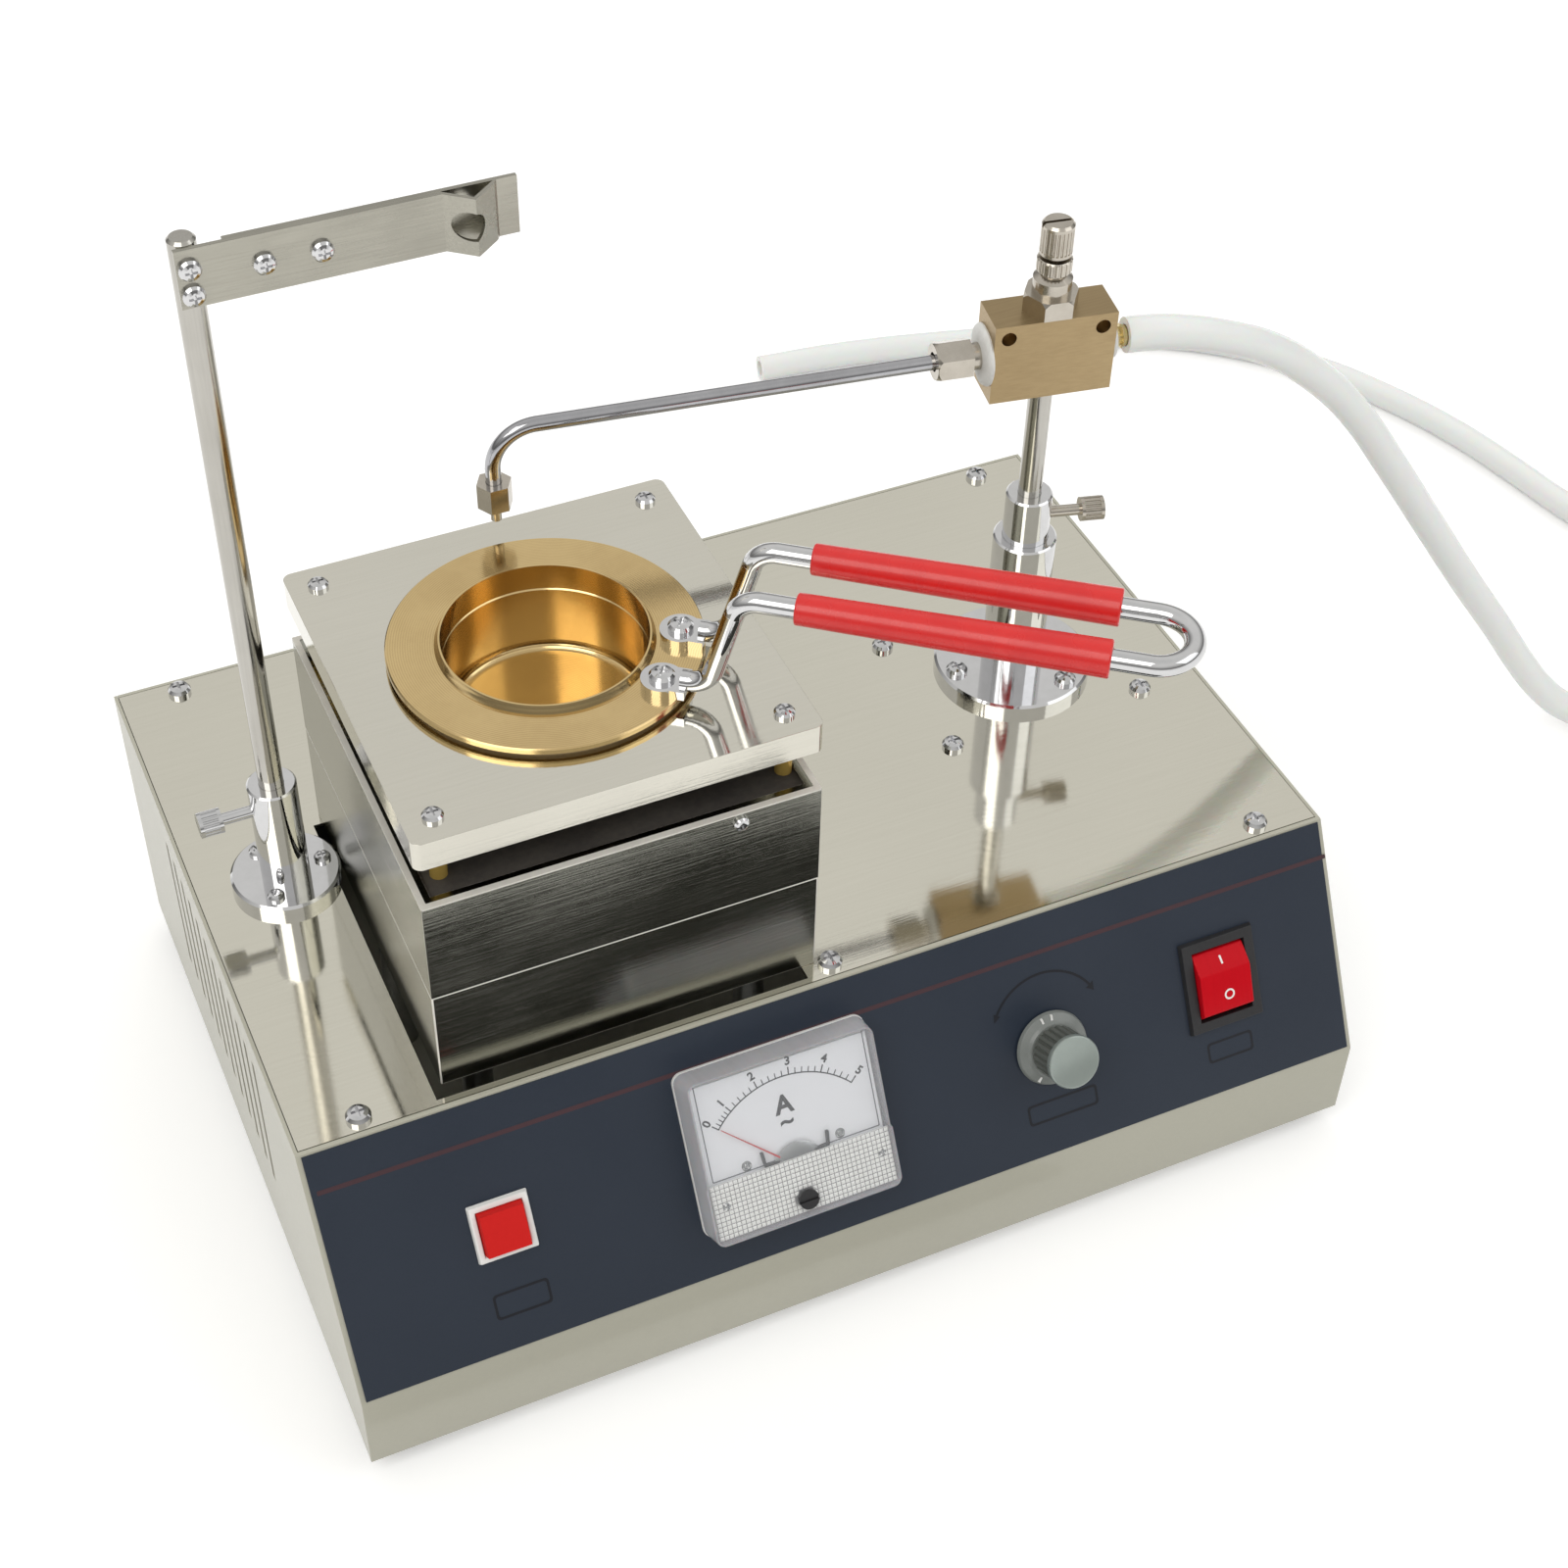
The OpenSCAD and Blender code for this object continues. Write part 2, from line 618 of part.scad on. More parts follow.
module feet() color(black)
    for (p = pattern(case_w - 2 * foot_inset, case_d - 2 * foot_inset))
        translate([p[0], front_y + case_d / 2 + p[1], 0]) difference() {
            rotate_extrude() polygon([
                [0, 0], [foot_d / 2 - 2, 0], [foot_d / 2 - 1, 0.6], [foot_d / 2, foot_h],
                [0, foot_h]]);
            translate([0, 0, foot_h * 0.5]) cylinder(d = 4 + 2 * seat_fit, h = foot_h);
        }

module deck_screws() color(chrome)
    for (p = deck_screw_places) at_deck(p[0], p[1]) pan_screw(deck_head_d, 3, 4, 7);

module case_screws() color(chrome) {
    for (p = pattern(case_w - 2 * foot_inset, case_d - 2 * foot_inset))
        translate([p[0], front_y + case_d / 2 + p[1], foot_h + sheet])
            pan_screw(7, 2.4, 4, sheet + foot_h * 0.5);
    for (x = [-1, 1])
        translate([inlet_x - case_w / 2 + x * inlet_screw_pitch / 2, back_y + inlet_proud,
                   inlet_z])
            rotate([-90, 0, 0]) translate([0, 0, -1.2]) pan_screw(5, 1.2, 3, 8);
}

side_screw_x = 36.5;            // furnace side screws, right of the box's middle
module furnace_tier(h) {
    // one tier of the box: four walls with a narrow flange folded in at each open edge
    difference() {
        block(box_w, box_d, h);
        translate([0, 0, box_t]) block(box_w - 2 * box_t, box_d - 2 * box_t, h - 2 * box_t);
        translate([0, 0, -e]) block(box_w - 2 * rim_w, box_d - 2 * rim_w, h + 2 * e);
    }
}

module furnace_lower_box() color([0.30, 0.30, 0.28]) difference() {
    at_deck(box_x, box_y) furnace_tier(tier_low);
    for (p = post_places)
        at_deck(box_x + p[0], box_y + p[1], -e) cylinder(d = 4, h = 2 * box_t);
}

module furnace_upper_box() color([0.30, 0.30, 0.28]) difference() {
    at_deck(box_x, box_y, tier_low) furnace_tier(tier_up);
    for (p = plate_screw_places)
        at_deck(cup_x + p[0], cup_y + p[1], box_z - 2 * box_t)
            cylinder(d = standoff_d + 1, h = 4 * box_t);
    at_deck(box_x + side_screw_x, box_y, box_z - 4)
        rotate([90, 0, 0]) cylinder(d = 2.5 + 2 * seat_fit, h = 2 * box_d, center = true);
}

module furnace_posts() color(steel)
    // four posts carry the box from the floor, joined under it by two cross rails
    for (y = [-1, 1]) {
        for (x = [-1, 1])
            translate([deck_x0 + box_x + x * (box_w / 2 - post_inset),
                       deck_y0 + box_y + y * (box_d / 2 - post_inset), foot_h + sheet])
                cylinder(d = post_d, h = case_h - sheet - 4);
        at_deck(box_x, box_y + y * (box_d / 2 - post_inset), -4)
            block(box_w - 2 * post_inset + post_d, post_d + 2, 4);
    }

module furnace_screws() color(chrome)
    for (side = [0, 1])
        at_deck(box_x + side_screw_x, box_y, box_z - 4) rotate([0, 0, side * 180])
            translate([0, -box_d / 2, 0]) rotate([90, 0, 0]) pan_screw(5, 1.8, 2.5, 3);

module refractory_block() color([0.22, 0.21, 0.20]) difference() {
    low = tier_low + box_t;
    top = box_z - block_drop;
    at_deck(box_x, box_y, low)
        block(box_w - 2 * box_t - 2 * block_gap, box_d - 2 * box_t - 2 * block_gap, top - low);
    at_deck(cup_x, cup_y, top - well_depth) cylinder(d = well_d, h = well_depth + 1);
    for (side = [0, 1])
        at_deck(box_x + side_screw_x, box_y, box_z - 4) rotate([0, 0, side * 180])
            translate([0, -box_d / 2, 0]) rotate([90, 0, 0])
                cylinder(d = 4, h = 8, center = true);
}

module heater_coil() color([0.35, 0.33, 0.32]) {
    // one unbroken spiral of resistance wire on the floor of the well
    step = 20;
    last = coil_turns * step;
    start_r = well_d / 2 - 4 - coil_turns * coil_pitch;
    wire = [for (i = [0 : last]) let (a = i * 360 / step, r = start_r + coil_pitch * i / step)
        [r * cos(a), r * sin(a), coil_d / 2]];
    at_deck(cup_x, cup_y, box_z - block_drop - well_depth) sweep(wire, coil_d, 8);
}

module standoffs() color(brass)
    for (p = plate_screw_places)
        at_deck(cup_x + p[0], cup_y + p[1], box_z - block_drop)
            cylinder(d = standoff_d, h = plate_z - plate_t - box_z + block_drop);

module top_plate() color(steel) at_deck(cup_x, cup_y, plate_z - skirt_h) difference() {
    plate(plate_w, plate_w, skirt_h, plate_r);
    translate([0, 0, -e]) plate(plate_w - 2 * plate_t, plate_w - 2 * plate_t,
                                skirt_h - plate_t + e, plate_r - plate_t / 2);
    cylinder(d = plate_bore, h = 2 * skirt_h);
    for (p = plate_screw_places) translate([p[0], p[1], 0])
        cylinder(d = 3 + 2 * seat_fit, h = 2 * skirt_h);
}

module plate_screws() color(chrome)
    for (p = plate_screw_places)
        at_deck(cup_x + p[0], cup_y + p[1], plate_z) pan_screw(6.5, 2.2, 3, plate_t);

module seat_ring() color([0.35, 0.32, 0.28])
    at_deck(cup_x, cup_y, plate_z) tube(seat_d, plate_bore + 1, seat_t);

module cup() color(brass) {
    out_r = cup_r + cup_wall;
    base_z = rim_z - cup_depth - cup_floor;
    floor_z = base_z + cup_floor;
    round_r = 3;
    mark_z = rim_z - mark_drop;
    difference() {
        at_deck(cup_x, cup_y) rotate_extrude($fn = 96) polygon(concat(
            [[0, base_z], [out_r - 2, base_z], [out_r, base_z + 2], [out_r, seat_z],
             [flange_d / 2 - 0.4, seat_z], [flange_d / 2, seat_z + 0.4],
             [flange_d / 2, flange_z - 0.4], [flange_d / 2 - 0.4, flange_z],
             [cup_r + 1.9, flange_z], [cup_r + 0.6, rim_z], [cup_r, rim_z],
             [cup_r, mark_z + 0.4], [cup_r + 0.4, mark_z], [cup_r, mark_z - 0.4]],
            [for (a = [0 : 15 : 90])
                [cup_r - round_r + round_r * cos(a), floor_z + round_r - round_r * sin(a)]],
            [[0, floor_z]]));
        for (y = [-1, 1]) at_deck(cup_x, cup_y, seat_z - 1) rotate([0, 0, handle_dir])
            translate([handle_r, y * handle_half, 0]) cylinder(d = 4 + 2 * seat_fit, h = 9);
    }
}

module on_handle(z = 0) at_deck(cup_x, cup_y, flange_z + z) rotate([0, 0, handle_dir])
    translate([handle_r, 0, 0]) children();

handle_climb = (handle_rise - 2 * handle_bend * (1 - cos(handle_steep))) / sin(handle_steep);
handle_out = 8;
handle_run_x = handle_out + 2 * handle_bend * sin(handle_steep)
    + handle_climb * cos(handle_steep);
handle_end_x = handle_l - handle_half - handle_rod_d / 2;

module handle_rod() color(chrome) {
    for (y = [-1, 1]) difference() {
        union() {
            on_handle(handle_rod_d / 2) translate([handle_out - 2, y * handle_half, 0])
                rod_run([[2, handle_steep, handle_bend], [handle_climb, -handle_steep,
                    handle_bend], [handle_end_x - handle_run_x + lap, 0, 0]], handle_rod_d);
            on_handle() translate([0, y * handle_half, 0]) {
                cylinder(d = lug_w, h = lug_t);
                translate([0, -lug_w * 0.42, 0]) cube([handle_out, lug_w * 0.84, lug_t]);
            }
        }
        on_handle(-1) translate([0, y * handle_half, 0])
            cylinder(d = 4 + 2 * seat_fit, h = 9);
        on_handle(-9) translate([0, y * handle_half, 0]) block(40, lug_w, 9);
    }
    on_handle(handle_rod_d / 2 + handle_rise) translate([handle_end_x, 0, 0])
        rotate([0, 0, -90]) rotate_extrude(angle = 180)
            translate([handle_half, 0]) circle(d = handle_rod_d - bend_thin);
}

module handle_screws() color(chrome)
    for (y = [-1, 1])
        on_handle(lug_t) translate([0, y * handle_half, 0])
            pan_screw(8, 2.6, 4, lug_t + flange_t);

module grip_sleeves() color(red)
    for (y = [-1, 1])
        on_handle(handle_rod_d / 2 + handle_rise) translate([grip_from, y * handle_half, 0])
            rotate([0, 90, 0]) difference() {
                cylinder(d1 = grip_d1, d2 = grip_d2, h = grip_to - grip_from);
                translate([0, 0, -e])
                    cylinder(d = handle_rod_d + 2 * seat_fit, h = grip_to - grip_from + 1);
            }

module on_left(z = 0) at_deck(left_x, stand_y, z) children();
module on_right(z = 0) at_deck(right_x, stand_y, z) children();

module foot_flange(d, screw_r, screw_d, first, h, sleeve, bore) difference() {
    // round foot with three screw holes and an upright sleeve
    rotate_extrude($fn = 96) polygon([
        [bore / 2, 0], [d / 2, 0], [d / 2, stand_flange_t - 0.8],
        [d / 2 - 0.8, stand_flange_t], [sleeve / 2, stand_flange_t], [sleeve / 2, h - 0.6],
        [sleeve / 2 - 0.6, h], [bore / 2, h]]);
    for (a = [0, 120, 240]) rotate([0, 0, first + a]) translate([screw_r, 0, -e])
        cylinder(d = screw_d + 2 * seat_fit, h = stand_flange_t + 1);
}

module left_flange() color(chrome) difference() {
    on_left() foot_flange(left_flange_d, left_screw_r, 3, 0, left_sleeve_z, left_sleeve_d,
                          rod_d + 2 * rod_fit);
    on_left(left_thumb_z) rotate([0, -90, 0]) cylinder(d = 4 + 2 * rod_fit, h = left_sleeve_d);
}

module left_flange_screws() color(chrome)
    for (a = [0, 120, 240])
        on_left(stand_flange_t) rotate([0, 0, a]) translate([left_screw_r, 0, 0])
            pan_screw(5.6, 2, 3, stand_flange_t + deck_t + 3);

module left_rod() color(chrome) difference() {
    on_left(-left_rod_low) rotate_extrude() polygon([
        [0, 0], [rod_d / 2, 0], [rod_d / 2, left_rod_z + left_rod_low - 0.8],
        [rod_d / 2 - 0.8, left_rod_z + left_rod_low], [0, left_rod_z + left_rod_low]]);
    for (z = [4, 12]) on_left(clamp_z + z) rotate([90, 0, 0])
        cylinder(d = 3 + 2 * seat_fit, h = rod_d);
}

clamp_hole_x = [20, 36];

module clamp_front_strip() color(chrome) {
    // flat strip folded to a V that closes the jaw
    front = -rod_d / 2 - clamp_t;
    back = -rod_d / 2;
    difference() {
        on_left(clamp_z) linear_extrude(clamp_h) polygon([
            [-rod_d * 0.45, front], [jaw_x - jaw_half, front], [jaw_x, front - jaw_depth],
            [jaw_x + jaw_half, front], [jaw_x + jaw_half + 1, back], [jaw_x + jaw_half, back],
            [jaw_x, back - jaw_depth], [jaw_x - jaw_half, back], [-rod_d * 0.45, back]]);
        for (z = [4, 12]) on_left(clamp_z + z) rotate([90, 0, 0])
            cylinder(d = 3 + 2 * seat_fit, h = rod_d);
        for (x = clamp_hole_x) on_left(clamp_z + clamp_h / 2) translate([x, 0, 0])
            rotate([90, 0, 0]) cylinder(d = 3 + 2 * seat_fit, h = rod_d);
        on_left(clamp_z + clamp_h / 2) translate([jaw_x - 1.5, -rod_d / 2, 0])
            rotate([90, 0, 0]) cylinder(d = jaw_hole_d, h = 2 * jaw_depth);
    }
}

module clamp_rear_strip() color(chrome) difference() {
    on_left(clamp_z) translate([rod_d / 2 + 6, -rod_d / 2, 0])
        cube([rear_strip_l - rod_d / 2 - 6, clamp_t, clamp_h]);
    for (x = clamp_hole_x) on_left(clamp_z + clamp_h / 2) translate([x, 0, 0])
        rotate([90, 0, 0]) cylinder(d = 3 + 2 * seat_fit, h = rod_d);
}

module clamp_screws() color(chrome) {
    for (z = [4, 12]) on_left(clamp_z + z) translate([0, -rod_d / 2 - clamp_t, 0])
        rotate([90, 0, 0]) pan_screw(6.4, 2.2, 3, clamp_t + rod_d * 0.4);
    for (x = clamp_hole_x)
        on_left(clamp_z + clamp_h / 2) translate([x, -rod_d / 2 - clamp_t, 0])
            rotate([90, 0, 0]) {
                pan_screw(6.4, 2.2, 3, 2 * clamp_t + 3.4);
                translate([0, 0, -2 * clamp_t - 2.4]) difference() {
                    cylinder(d = 6.4, h = 2.4, $fn = 6);
                    translate([0, 0, -e]) cylinder(d = 3 - e, h = 3);
                }
            }
}

thumb_shaft = 4;
thumb_tip = rod_d / 2 + 0.3;

module left_thumbscrew() color(chrome)
    on_left(left_thumb_z) rotate([0, 0, 180]) translate([thumb_tip, 0, 0])
        thumbscrew(thumb_shaft, left_sleeve_d / 2 + 9.5 - thumb_tip, 8.4, 7.5, 18);

module right_flange() color(chrome)
    on_right() foot_flange(right_flange_d, right_screw_r, 4, 60, bearing_z, bearing_d,
                           collar_d + 2 * rod_fit);

module right_flange_screws() color(chrome)
    for (a = [60, 180, 300])
        on_right(stand_flange_t) rotate([0, 0, a]) translate([right_screw_r, 0, 0])
            pan_screw(7.6, 2.6, 4, stand_flange_t + deck_t + 3);

coupler_h = 10;

module swing_collar() color(chrome) difference() {
    low = -12;
    on_right(low) rotate_extrude($fn = 96) polygon([
        [rod_d / 2 + rod_fit, 0], [collar_d / 2, 0], [collar_d / 2, collar_z - low - 0.6],
        [collar_d / 2 - 0.6, collar_z - low], [rod_d / 2 + rod_fit, collar_z - low]]);
    on_right(right_thumb_z) rotate([0, 0, right_thumb_dir]) rotate([0, 90, 0])
        cylinder(d = thumb_shaft + 2 * rod_fit, h = collar_d);
}

module motor_coupler() color(steel) {
    on_right(-12 - coupler_h) cylinder(d = collar_d, h = coupler_h);
    on_right(-12) cylinder(d = rod_d, h = 8);
    on_right(-bracket_h - 14) cylinder(d = 6, h = bracket_h + 14 - 12 - coupler_h);
}

module right_thumbscrew() color(chrome)
    on_right(right_thumb_z) rotate([0, 0, right_thumb_dir]) translate([thumb_tip, 0, 0])
        thumbscrew(thumb_shaft, collar_d / 2 + 10.5 - thumb_tip, 8.4, 8, 18);

module on_motor(z = 0)
    at_deck(right_x - motor_shift_x, stand_y - motor_shift_y, z) children();

module motor_bracket() color(steel) {
    // hat-shaped bracket: two flanges under the deck, two legs and a web for the motor
    flange_w = 14;
    inner = motor_pitch_x - flange_w;
    span_y = motor_pitch_y + 12;
    top = -deck_t;
    difference() {
        union() {
            for (side = [-1, 1]) on_motor(top - 2) {
                translate([side * motor_pitch_x / 2, 0, 0]) block(flange_w, span_y, 2);
                translate([side * (inner / 2 - 1), 0, -bracket_h + 2 - top])
                    block(2, span_y, bracket_h + top);
            }
            on_motor(-bracket_h) block(inner, span_y, 2);
        }
        for (p = bracket_places) on_motor(top - 9) translate([p[0], p[1], 0])
            cylinder(d = 4 + 2 * seat_fit, h = 18);
        on_right(-bracket_h - 1) cylinder(d = 13, h = 4);
    }
}

module bracket_screws() color(chrome)
    for (p = bracket_places)
        on_motor() translate([p[0], p[1], 0]) pan_screw(7.6, 2.8, 4, deck_t + 6);

module swing_motor() color(steel) difference() {
    union() {
        on_right(-bracket_h - motor_h) cylinder(d = motor_d, h = motor_h);
        on_right(-bracket_h) cylinder(d = 12, h = 4);
        on_right(-bracket_h - motor_h - 8) cylinder(d = motor_d * 0.7, h = 8);
    }
    on_right(-bracket_h - 15) cylinder(d = 6 + 2 * rod_fit, h = 30);
}

module on_block(z = 0) on_right(z) rotate([0, 0, block_dir - 180]) children();

arm_rod_low = 19;

module arm_rod() color(chrome) {
    on_right(arm_rod_low) cylinder(d = rod_d, h = block_z + 11 - arm_rod_low);
    on_right(block_z - 1) tube(rod_d + 3, rod_d + 2 * seat_fit, 1);
}

module valve_block() color(brass) difference() {
    on_block(block_z) block(block_l, block_d, block_h);
    on_right(block_z - e) cylinder(d = rod_d + 2 * seat_fit, h = 11 + seat_fit);
    on_block(passage_up) rotate([0, 90, 0])
        cylinder(d = passage_d, h = block_l + 2, center = true);
    for (side = [-1, 1]) on_block(passage_up) translate([side * block_l / 2, 0, 0])
        rotate([0, 90, 0]) cylinder(d = 7, h = 10, center = true);
    on_block(passage_up) cylinder(d = 5.4, h = block_h);
    for (side = [-1, 1]) on_block(block_z + block_h - 4.8)
        translate([side * (block_l / 2 - 4.8), -block_d / 2, 0])
            rotate([90, 0, 0]) cylinder(d = 5, h = 10, center = true);
}

valve_z = block_z + block_h;
stem_d = 4;

module needle_valve() color(brass) {
    // hexagon body with a packing nut, and a knurled lock ring on its neck
    neck = valve_af * 0.78 / 2;
    on_block(valve_z) difference() {
        union() {
            intersection() {
                cylinder(d = valve_af / cos(30), h = 6.5, $fn = 6);
                cylinder(r1 = valve_af * 0.72, r2 = valve_af * 0.53, h = 6.5);
            }
            rotate_extrude() polygon([
                [0, -4], [2.6, -4], [2.6, 0], [neck, 0], [neck, 11.5], [4.5, 12.7],
                [4, 12.7], [4, 14], [5.2, 14], [5.75, 14.5], [5.75, 18.5], [5.2, 19],
                [0, 19]]);
        }
        translate([0, 0, -9]) cylinder(d = stem_d + 2 * rod_fit, h = 40);
        for (i = [0 : 19]) rotate([0, 0, i * 18]) translate([5.75, 0, 13])
            cylinder(d = 0.9, h = 9);
    }
}

module valve_knob() color(brass) {
    on_block(valve_z - 3) cylinder(d = stem_d, h = 24);
    on_block(valve_z + 20) difference() {
        rotate_extrude() polygon([
            [0, 0], [valve_knob_d / 2 - 0.5, 0], [valve_knob_d / 2, 0.5],
            [valve_knob_d / 2, 11], [valve_knob_d / 2 - 0.8, 11.8], [0, 11.8]]);
        for (i = [0 : 23]) rotate([0, 0, i * 15]) translate([valve_knob_d / 2, 0, 1.5])
            cylinder(d = 0.8, h = 8.5);
        translate([-valve_knob_d, -0.6, 10]) cube([2 * valve_knob_d, 1.2, 3]);
    }
}

module tube_fitting() color(brass) {
    // compression nut on a threaded stub, seated on a sealing washer
    on_block(passage_up) translate([-block_l / 2, 0, 0]) rotate([0, -90, 0]) {
        translate([0, 0, -5]) tube(7 - 2 * seat_fit, passage_d, 5 + e);
        tube(14, passage_d, 1.4);
        translate([0, 0, 1.4]) tube(9, passage_d, 4);
        translate([0, 0, 5.4]) difference() {
            intersection() {
                cylinder(d = 12 / cos(30), h = 12, $fn = 6);
                cylinder(d1 = 30, d2 = 11, h = 12.5);
            }
            translate([0, 0, 1]) cylinder(d = tube_d + 1.4, h = 12);
            translate([0, 0, -e]) cylinder(d = passage_d, h = 3);
        }
    }
}

module gas_tube() color(chrome) difference() {
    // the bore shows at both ends of the bent tube
    translate([deck_x0 + tube_from[0], deck_y0 + tube_from[1], deck_z + passage_up])
        rotate([0, -tube_rise, atan2(tube_way[1], tube_way[0])])
            rod_run([[tube_run, -90 - tube_rise, tube_bend], [tube_down, 0, 0]], tube_d);
    at_deck(tube_to[0], tube_to[1], nozzle_nut_z) cylinder(d = tube_d * 0.5, h = 8);
    translate([deck_x0 + tube_from[0], deck_y0 + tube_from[1], deck_z + passage_up])
        rotate([0, -tube_rise, atan2(tube_way[1], tube_way[0])])
            rotate([0, 90, 0]) translate([0, 0, -1]) cylinder(d = tube_d * 0.5, h = 9);
}

module nozzle() color(chrome) at_deck(tube_to[0], tube_to[1]) difference() {
    union() {
        translate([0, 0, nozzle_nut_z])
            cylinder(d = nozzle_af / cos(30), h = nozzle_nut_h, $fn = 6);
        translate([0, 0, tip_z]) rotate_extrude() polygon([
            [0, 0], [tip_d / 2 - 0.3, 0], [tip_d / 2, 0.3], [tip_d / 2, 7], [0, 7]]);
    }
    translate([0, 0, tip_z - e]) cylinder(d = 1.6, h = 20);
    translate([0, 0, nozzle_nut_z + 2]) cylinder(d = tube_d + 2 * seat_fit, h = 20);
}

module hose_barb() color(brass)
    on_block(passage_up) translate([block_l / 2, 0, 0]) rotate([0, 90, 0]) {
        translate([0, 0, -5]) tube(7 - 2 * seat_fit, passage_d, 5 + e);
        tube(11, passage_d, 1.5);
        difference() {
            rotate_extrude() polygon(concat(
                [[0, 1], [barb_d * 0.38, 1]],
                [for (i = [0 : 5], p = [[barb_d / 2, 0], [barb_d * 0.38, 2.6]])
                    [p[0], 2 + i * 2.8 + p[1]]],
                [[0, 18.6]]));
            cylinder(d = passage_d, h = 40);
        }
    }

module gas_hose() color([0.88, 0.88, 0.86]) sweep(hose_points, hose_d, hose_sides);

// a box standing on z = 0 whose four sides lean in by inset over its height
module drafted(w, d, h, inset) intersection() {
    rotate([90, 0, 0]) linear_extrude(d + 2, center = true)
        polygon([[-w / 2, 0], [w / 2, 0], [w / 2 - inset, h], [-w / 2 + inset, h]]);
    rotate([90, 0, 90]) linear_extrude(w + 2, center = true)
        polygon([[-d / 2, 0], [d / 2, 0], [d / 2 - inset, h], [-d / 2 + inset, h]]);
}

meter_wall = 1.2;
dial_h = meter_h - 4;           // height of the dial's face over the panel
dial_d = 35;                    // part of the meter that the dial takes, from the top
pivot_s = 11;                   // needle pivot below the meter's middle
needle_l = 31;
needle_rest = 48;               // needle at zero, left of upright
zero_s = 21.6;                  // zero screw below the meter's middle
zero_d = 6.8;

module on_meter(h = 0) on_panel(meter_x, meter_s, overlay_t + h) children();

module meter_case() color([0.9, 0.9, 0.9]) difference() {
    union() {
        on_meter() block(meter_w, meter_l, 2);
        on_meter(2) block(meter_w - 2 * meter_wall - 3, meter_l - 2 * meter_wall - 3,
                          dial_h - 0.8 - 2);
        on_meter(-sheet - overlay_t - 30) cylinder(d = meter_barrel_d, h = 33);
        for (x = [-10, 10])
            on_meter(-sheet - overlay_t - 38) translate([x, 0, 0]) cylinder(d = 5, h = 9);
    }
    on_meter(dial_h - 5) translate([0, -pivot_s, 0]) cylinder(d = 1.5 + 2 * rod_fit, h = 6);
    on_meter(dial_h - 4) translate([0, -zero_s, 0]) cylinder(d = 3 + 2 * rod_fit, h = 6);
}

module meter_dial() color([0.95, 0.95, 0.97]) difference() {
    w = meter_w - 2 * meter_wall - 3;
    d = meter_l - 2 * meter_wall - 3;
    on_meter(dial_h - 0.8) translate([0, d / 2 - dial_d / 2, 0]) block(w, dial_d, 0.8);
    on_meter(dial_h - 2) translate([0, -pivot_s, 0]) cylinder(d = 9, h = 4);
}

module meter_window() color([0.85, 0.87, 0.92]) difference() {
    on_meter(2) drafted(meter_w - 0.4, meter_l - 0.4, meter_h - 2, 1);
    on_meter(2 - e) drafted(meter_w - 0.4 - 2 * meter_wall, meter_l - 0.4 - 2 * meter_wall,
                            meter_h - 2 - meter_wall, 0.8);
    on_meter(meter_h - 3) translate([0, -zero_s, 0]) cylinder(d = zero_d + 0.6, h = 6);
}

module meter_needle() color(red)
    on_meter(dial_h) translate([0, -pivot_s, 0]) rotate([0, 0, needle_rest]) {
        translate([-0.35, 0, 0.8]) cube([0.7, needle_l, 0.3]);
        translate([-0.8, -6, 0.8]) cube([1.6, 6, 0.3]);
        translate([0, 0, 0.5]) cylinder(d = 4, h = 0.9);
        translate([0, 0, -4]) cylinder(d = 1.5, h = 5);
    }

module zero_adjuster() color(black) on_meter(meter_h) translate([0, -zero_s, 0]) difference() {
    union() {
        translate([0, 0, -1.4]) cylinder(d = zero_d, h = 2);
        translate([0, 0, -7]) cylinder(d = 3, h = 6);
    }
    translate([-zero_d / 2 - 1, -0.5, 0]) cube([zero_d + 2, 1, 2]);
}

module heat_regulator() color(black) difference() {
    union() {
        on_panel(knob_x, knob_s, -sheet - 16) cylinder(d = 32, h = 16);
        on_panel(knob_x, knob_s, -sheet - 1) cylinder(d = 9.4, h = sheet + 5);
        on_panel(knob_x, knob_s, overlay_t) cylinder(d = 14, h = 2, $fn = 6);
        on_panel(knob_x, knob_s + 16, -sheet - 10) block(16, 10, 5);
    }
    on_panel(knob_x, knob_s, -sheet - 12) cylinder(d = 6 + 2 * rod_fit, h = 30);
}

module heat_knob() color([0.55, 0.58, 0.56])
    on_panel(knob_x, knob_s, overlay_t + 0.6) {
        // skirt, fluted grip and flat cap on a shaft
        flutes = 20;
        grip_r = knob_cap_d / 2 - 0.5;
        difference() {
            rotate_extrude() polygon([
                [8.5, 0], [knob_skirt_d / 2, 0], [knob_skirt_d / 2 - 0.6, 1.4],
                [grip_r + 1.6, 2.2], [grip_r, 3.4], [grip_r, knob_h - 2.6],
                [knob_cap_d / 2, knob_h - 2.6], [knob_cap_d / 2, knob_h - 1],
                [knob_cap_d / 2 - 0.4, knob_h - 0.6], [0, knob_h - 0.6], [0, 4.4],
                [8.5, 4.4]]);
            for (i = [0 : flutes - 1]) rotate([0, 0, i * 360 / flutes])
                translate([grip_r + 0.3, 0, 4]) cylinder(d = 1.5, h = knob_h - 7);
        }
        translate([0, 0, -11]) cylinder(d = 6, h = 17);
    }

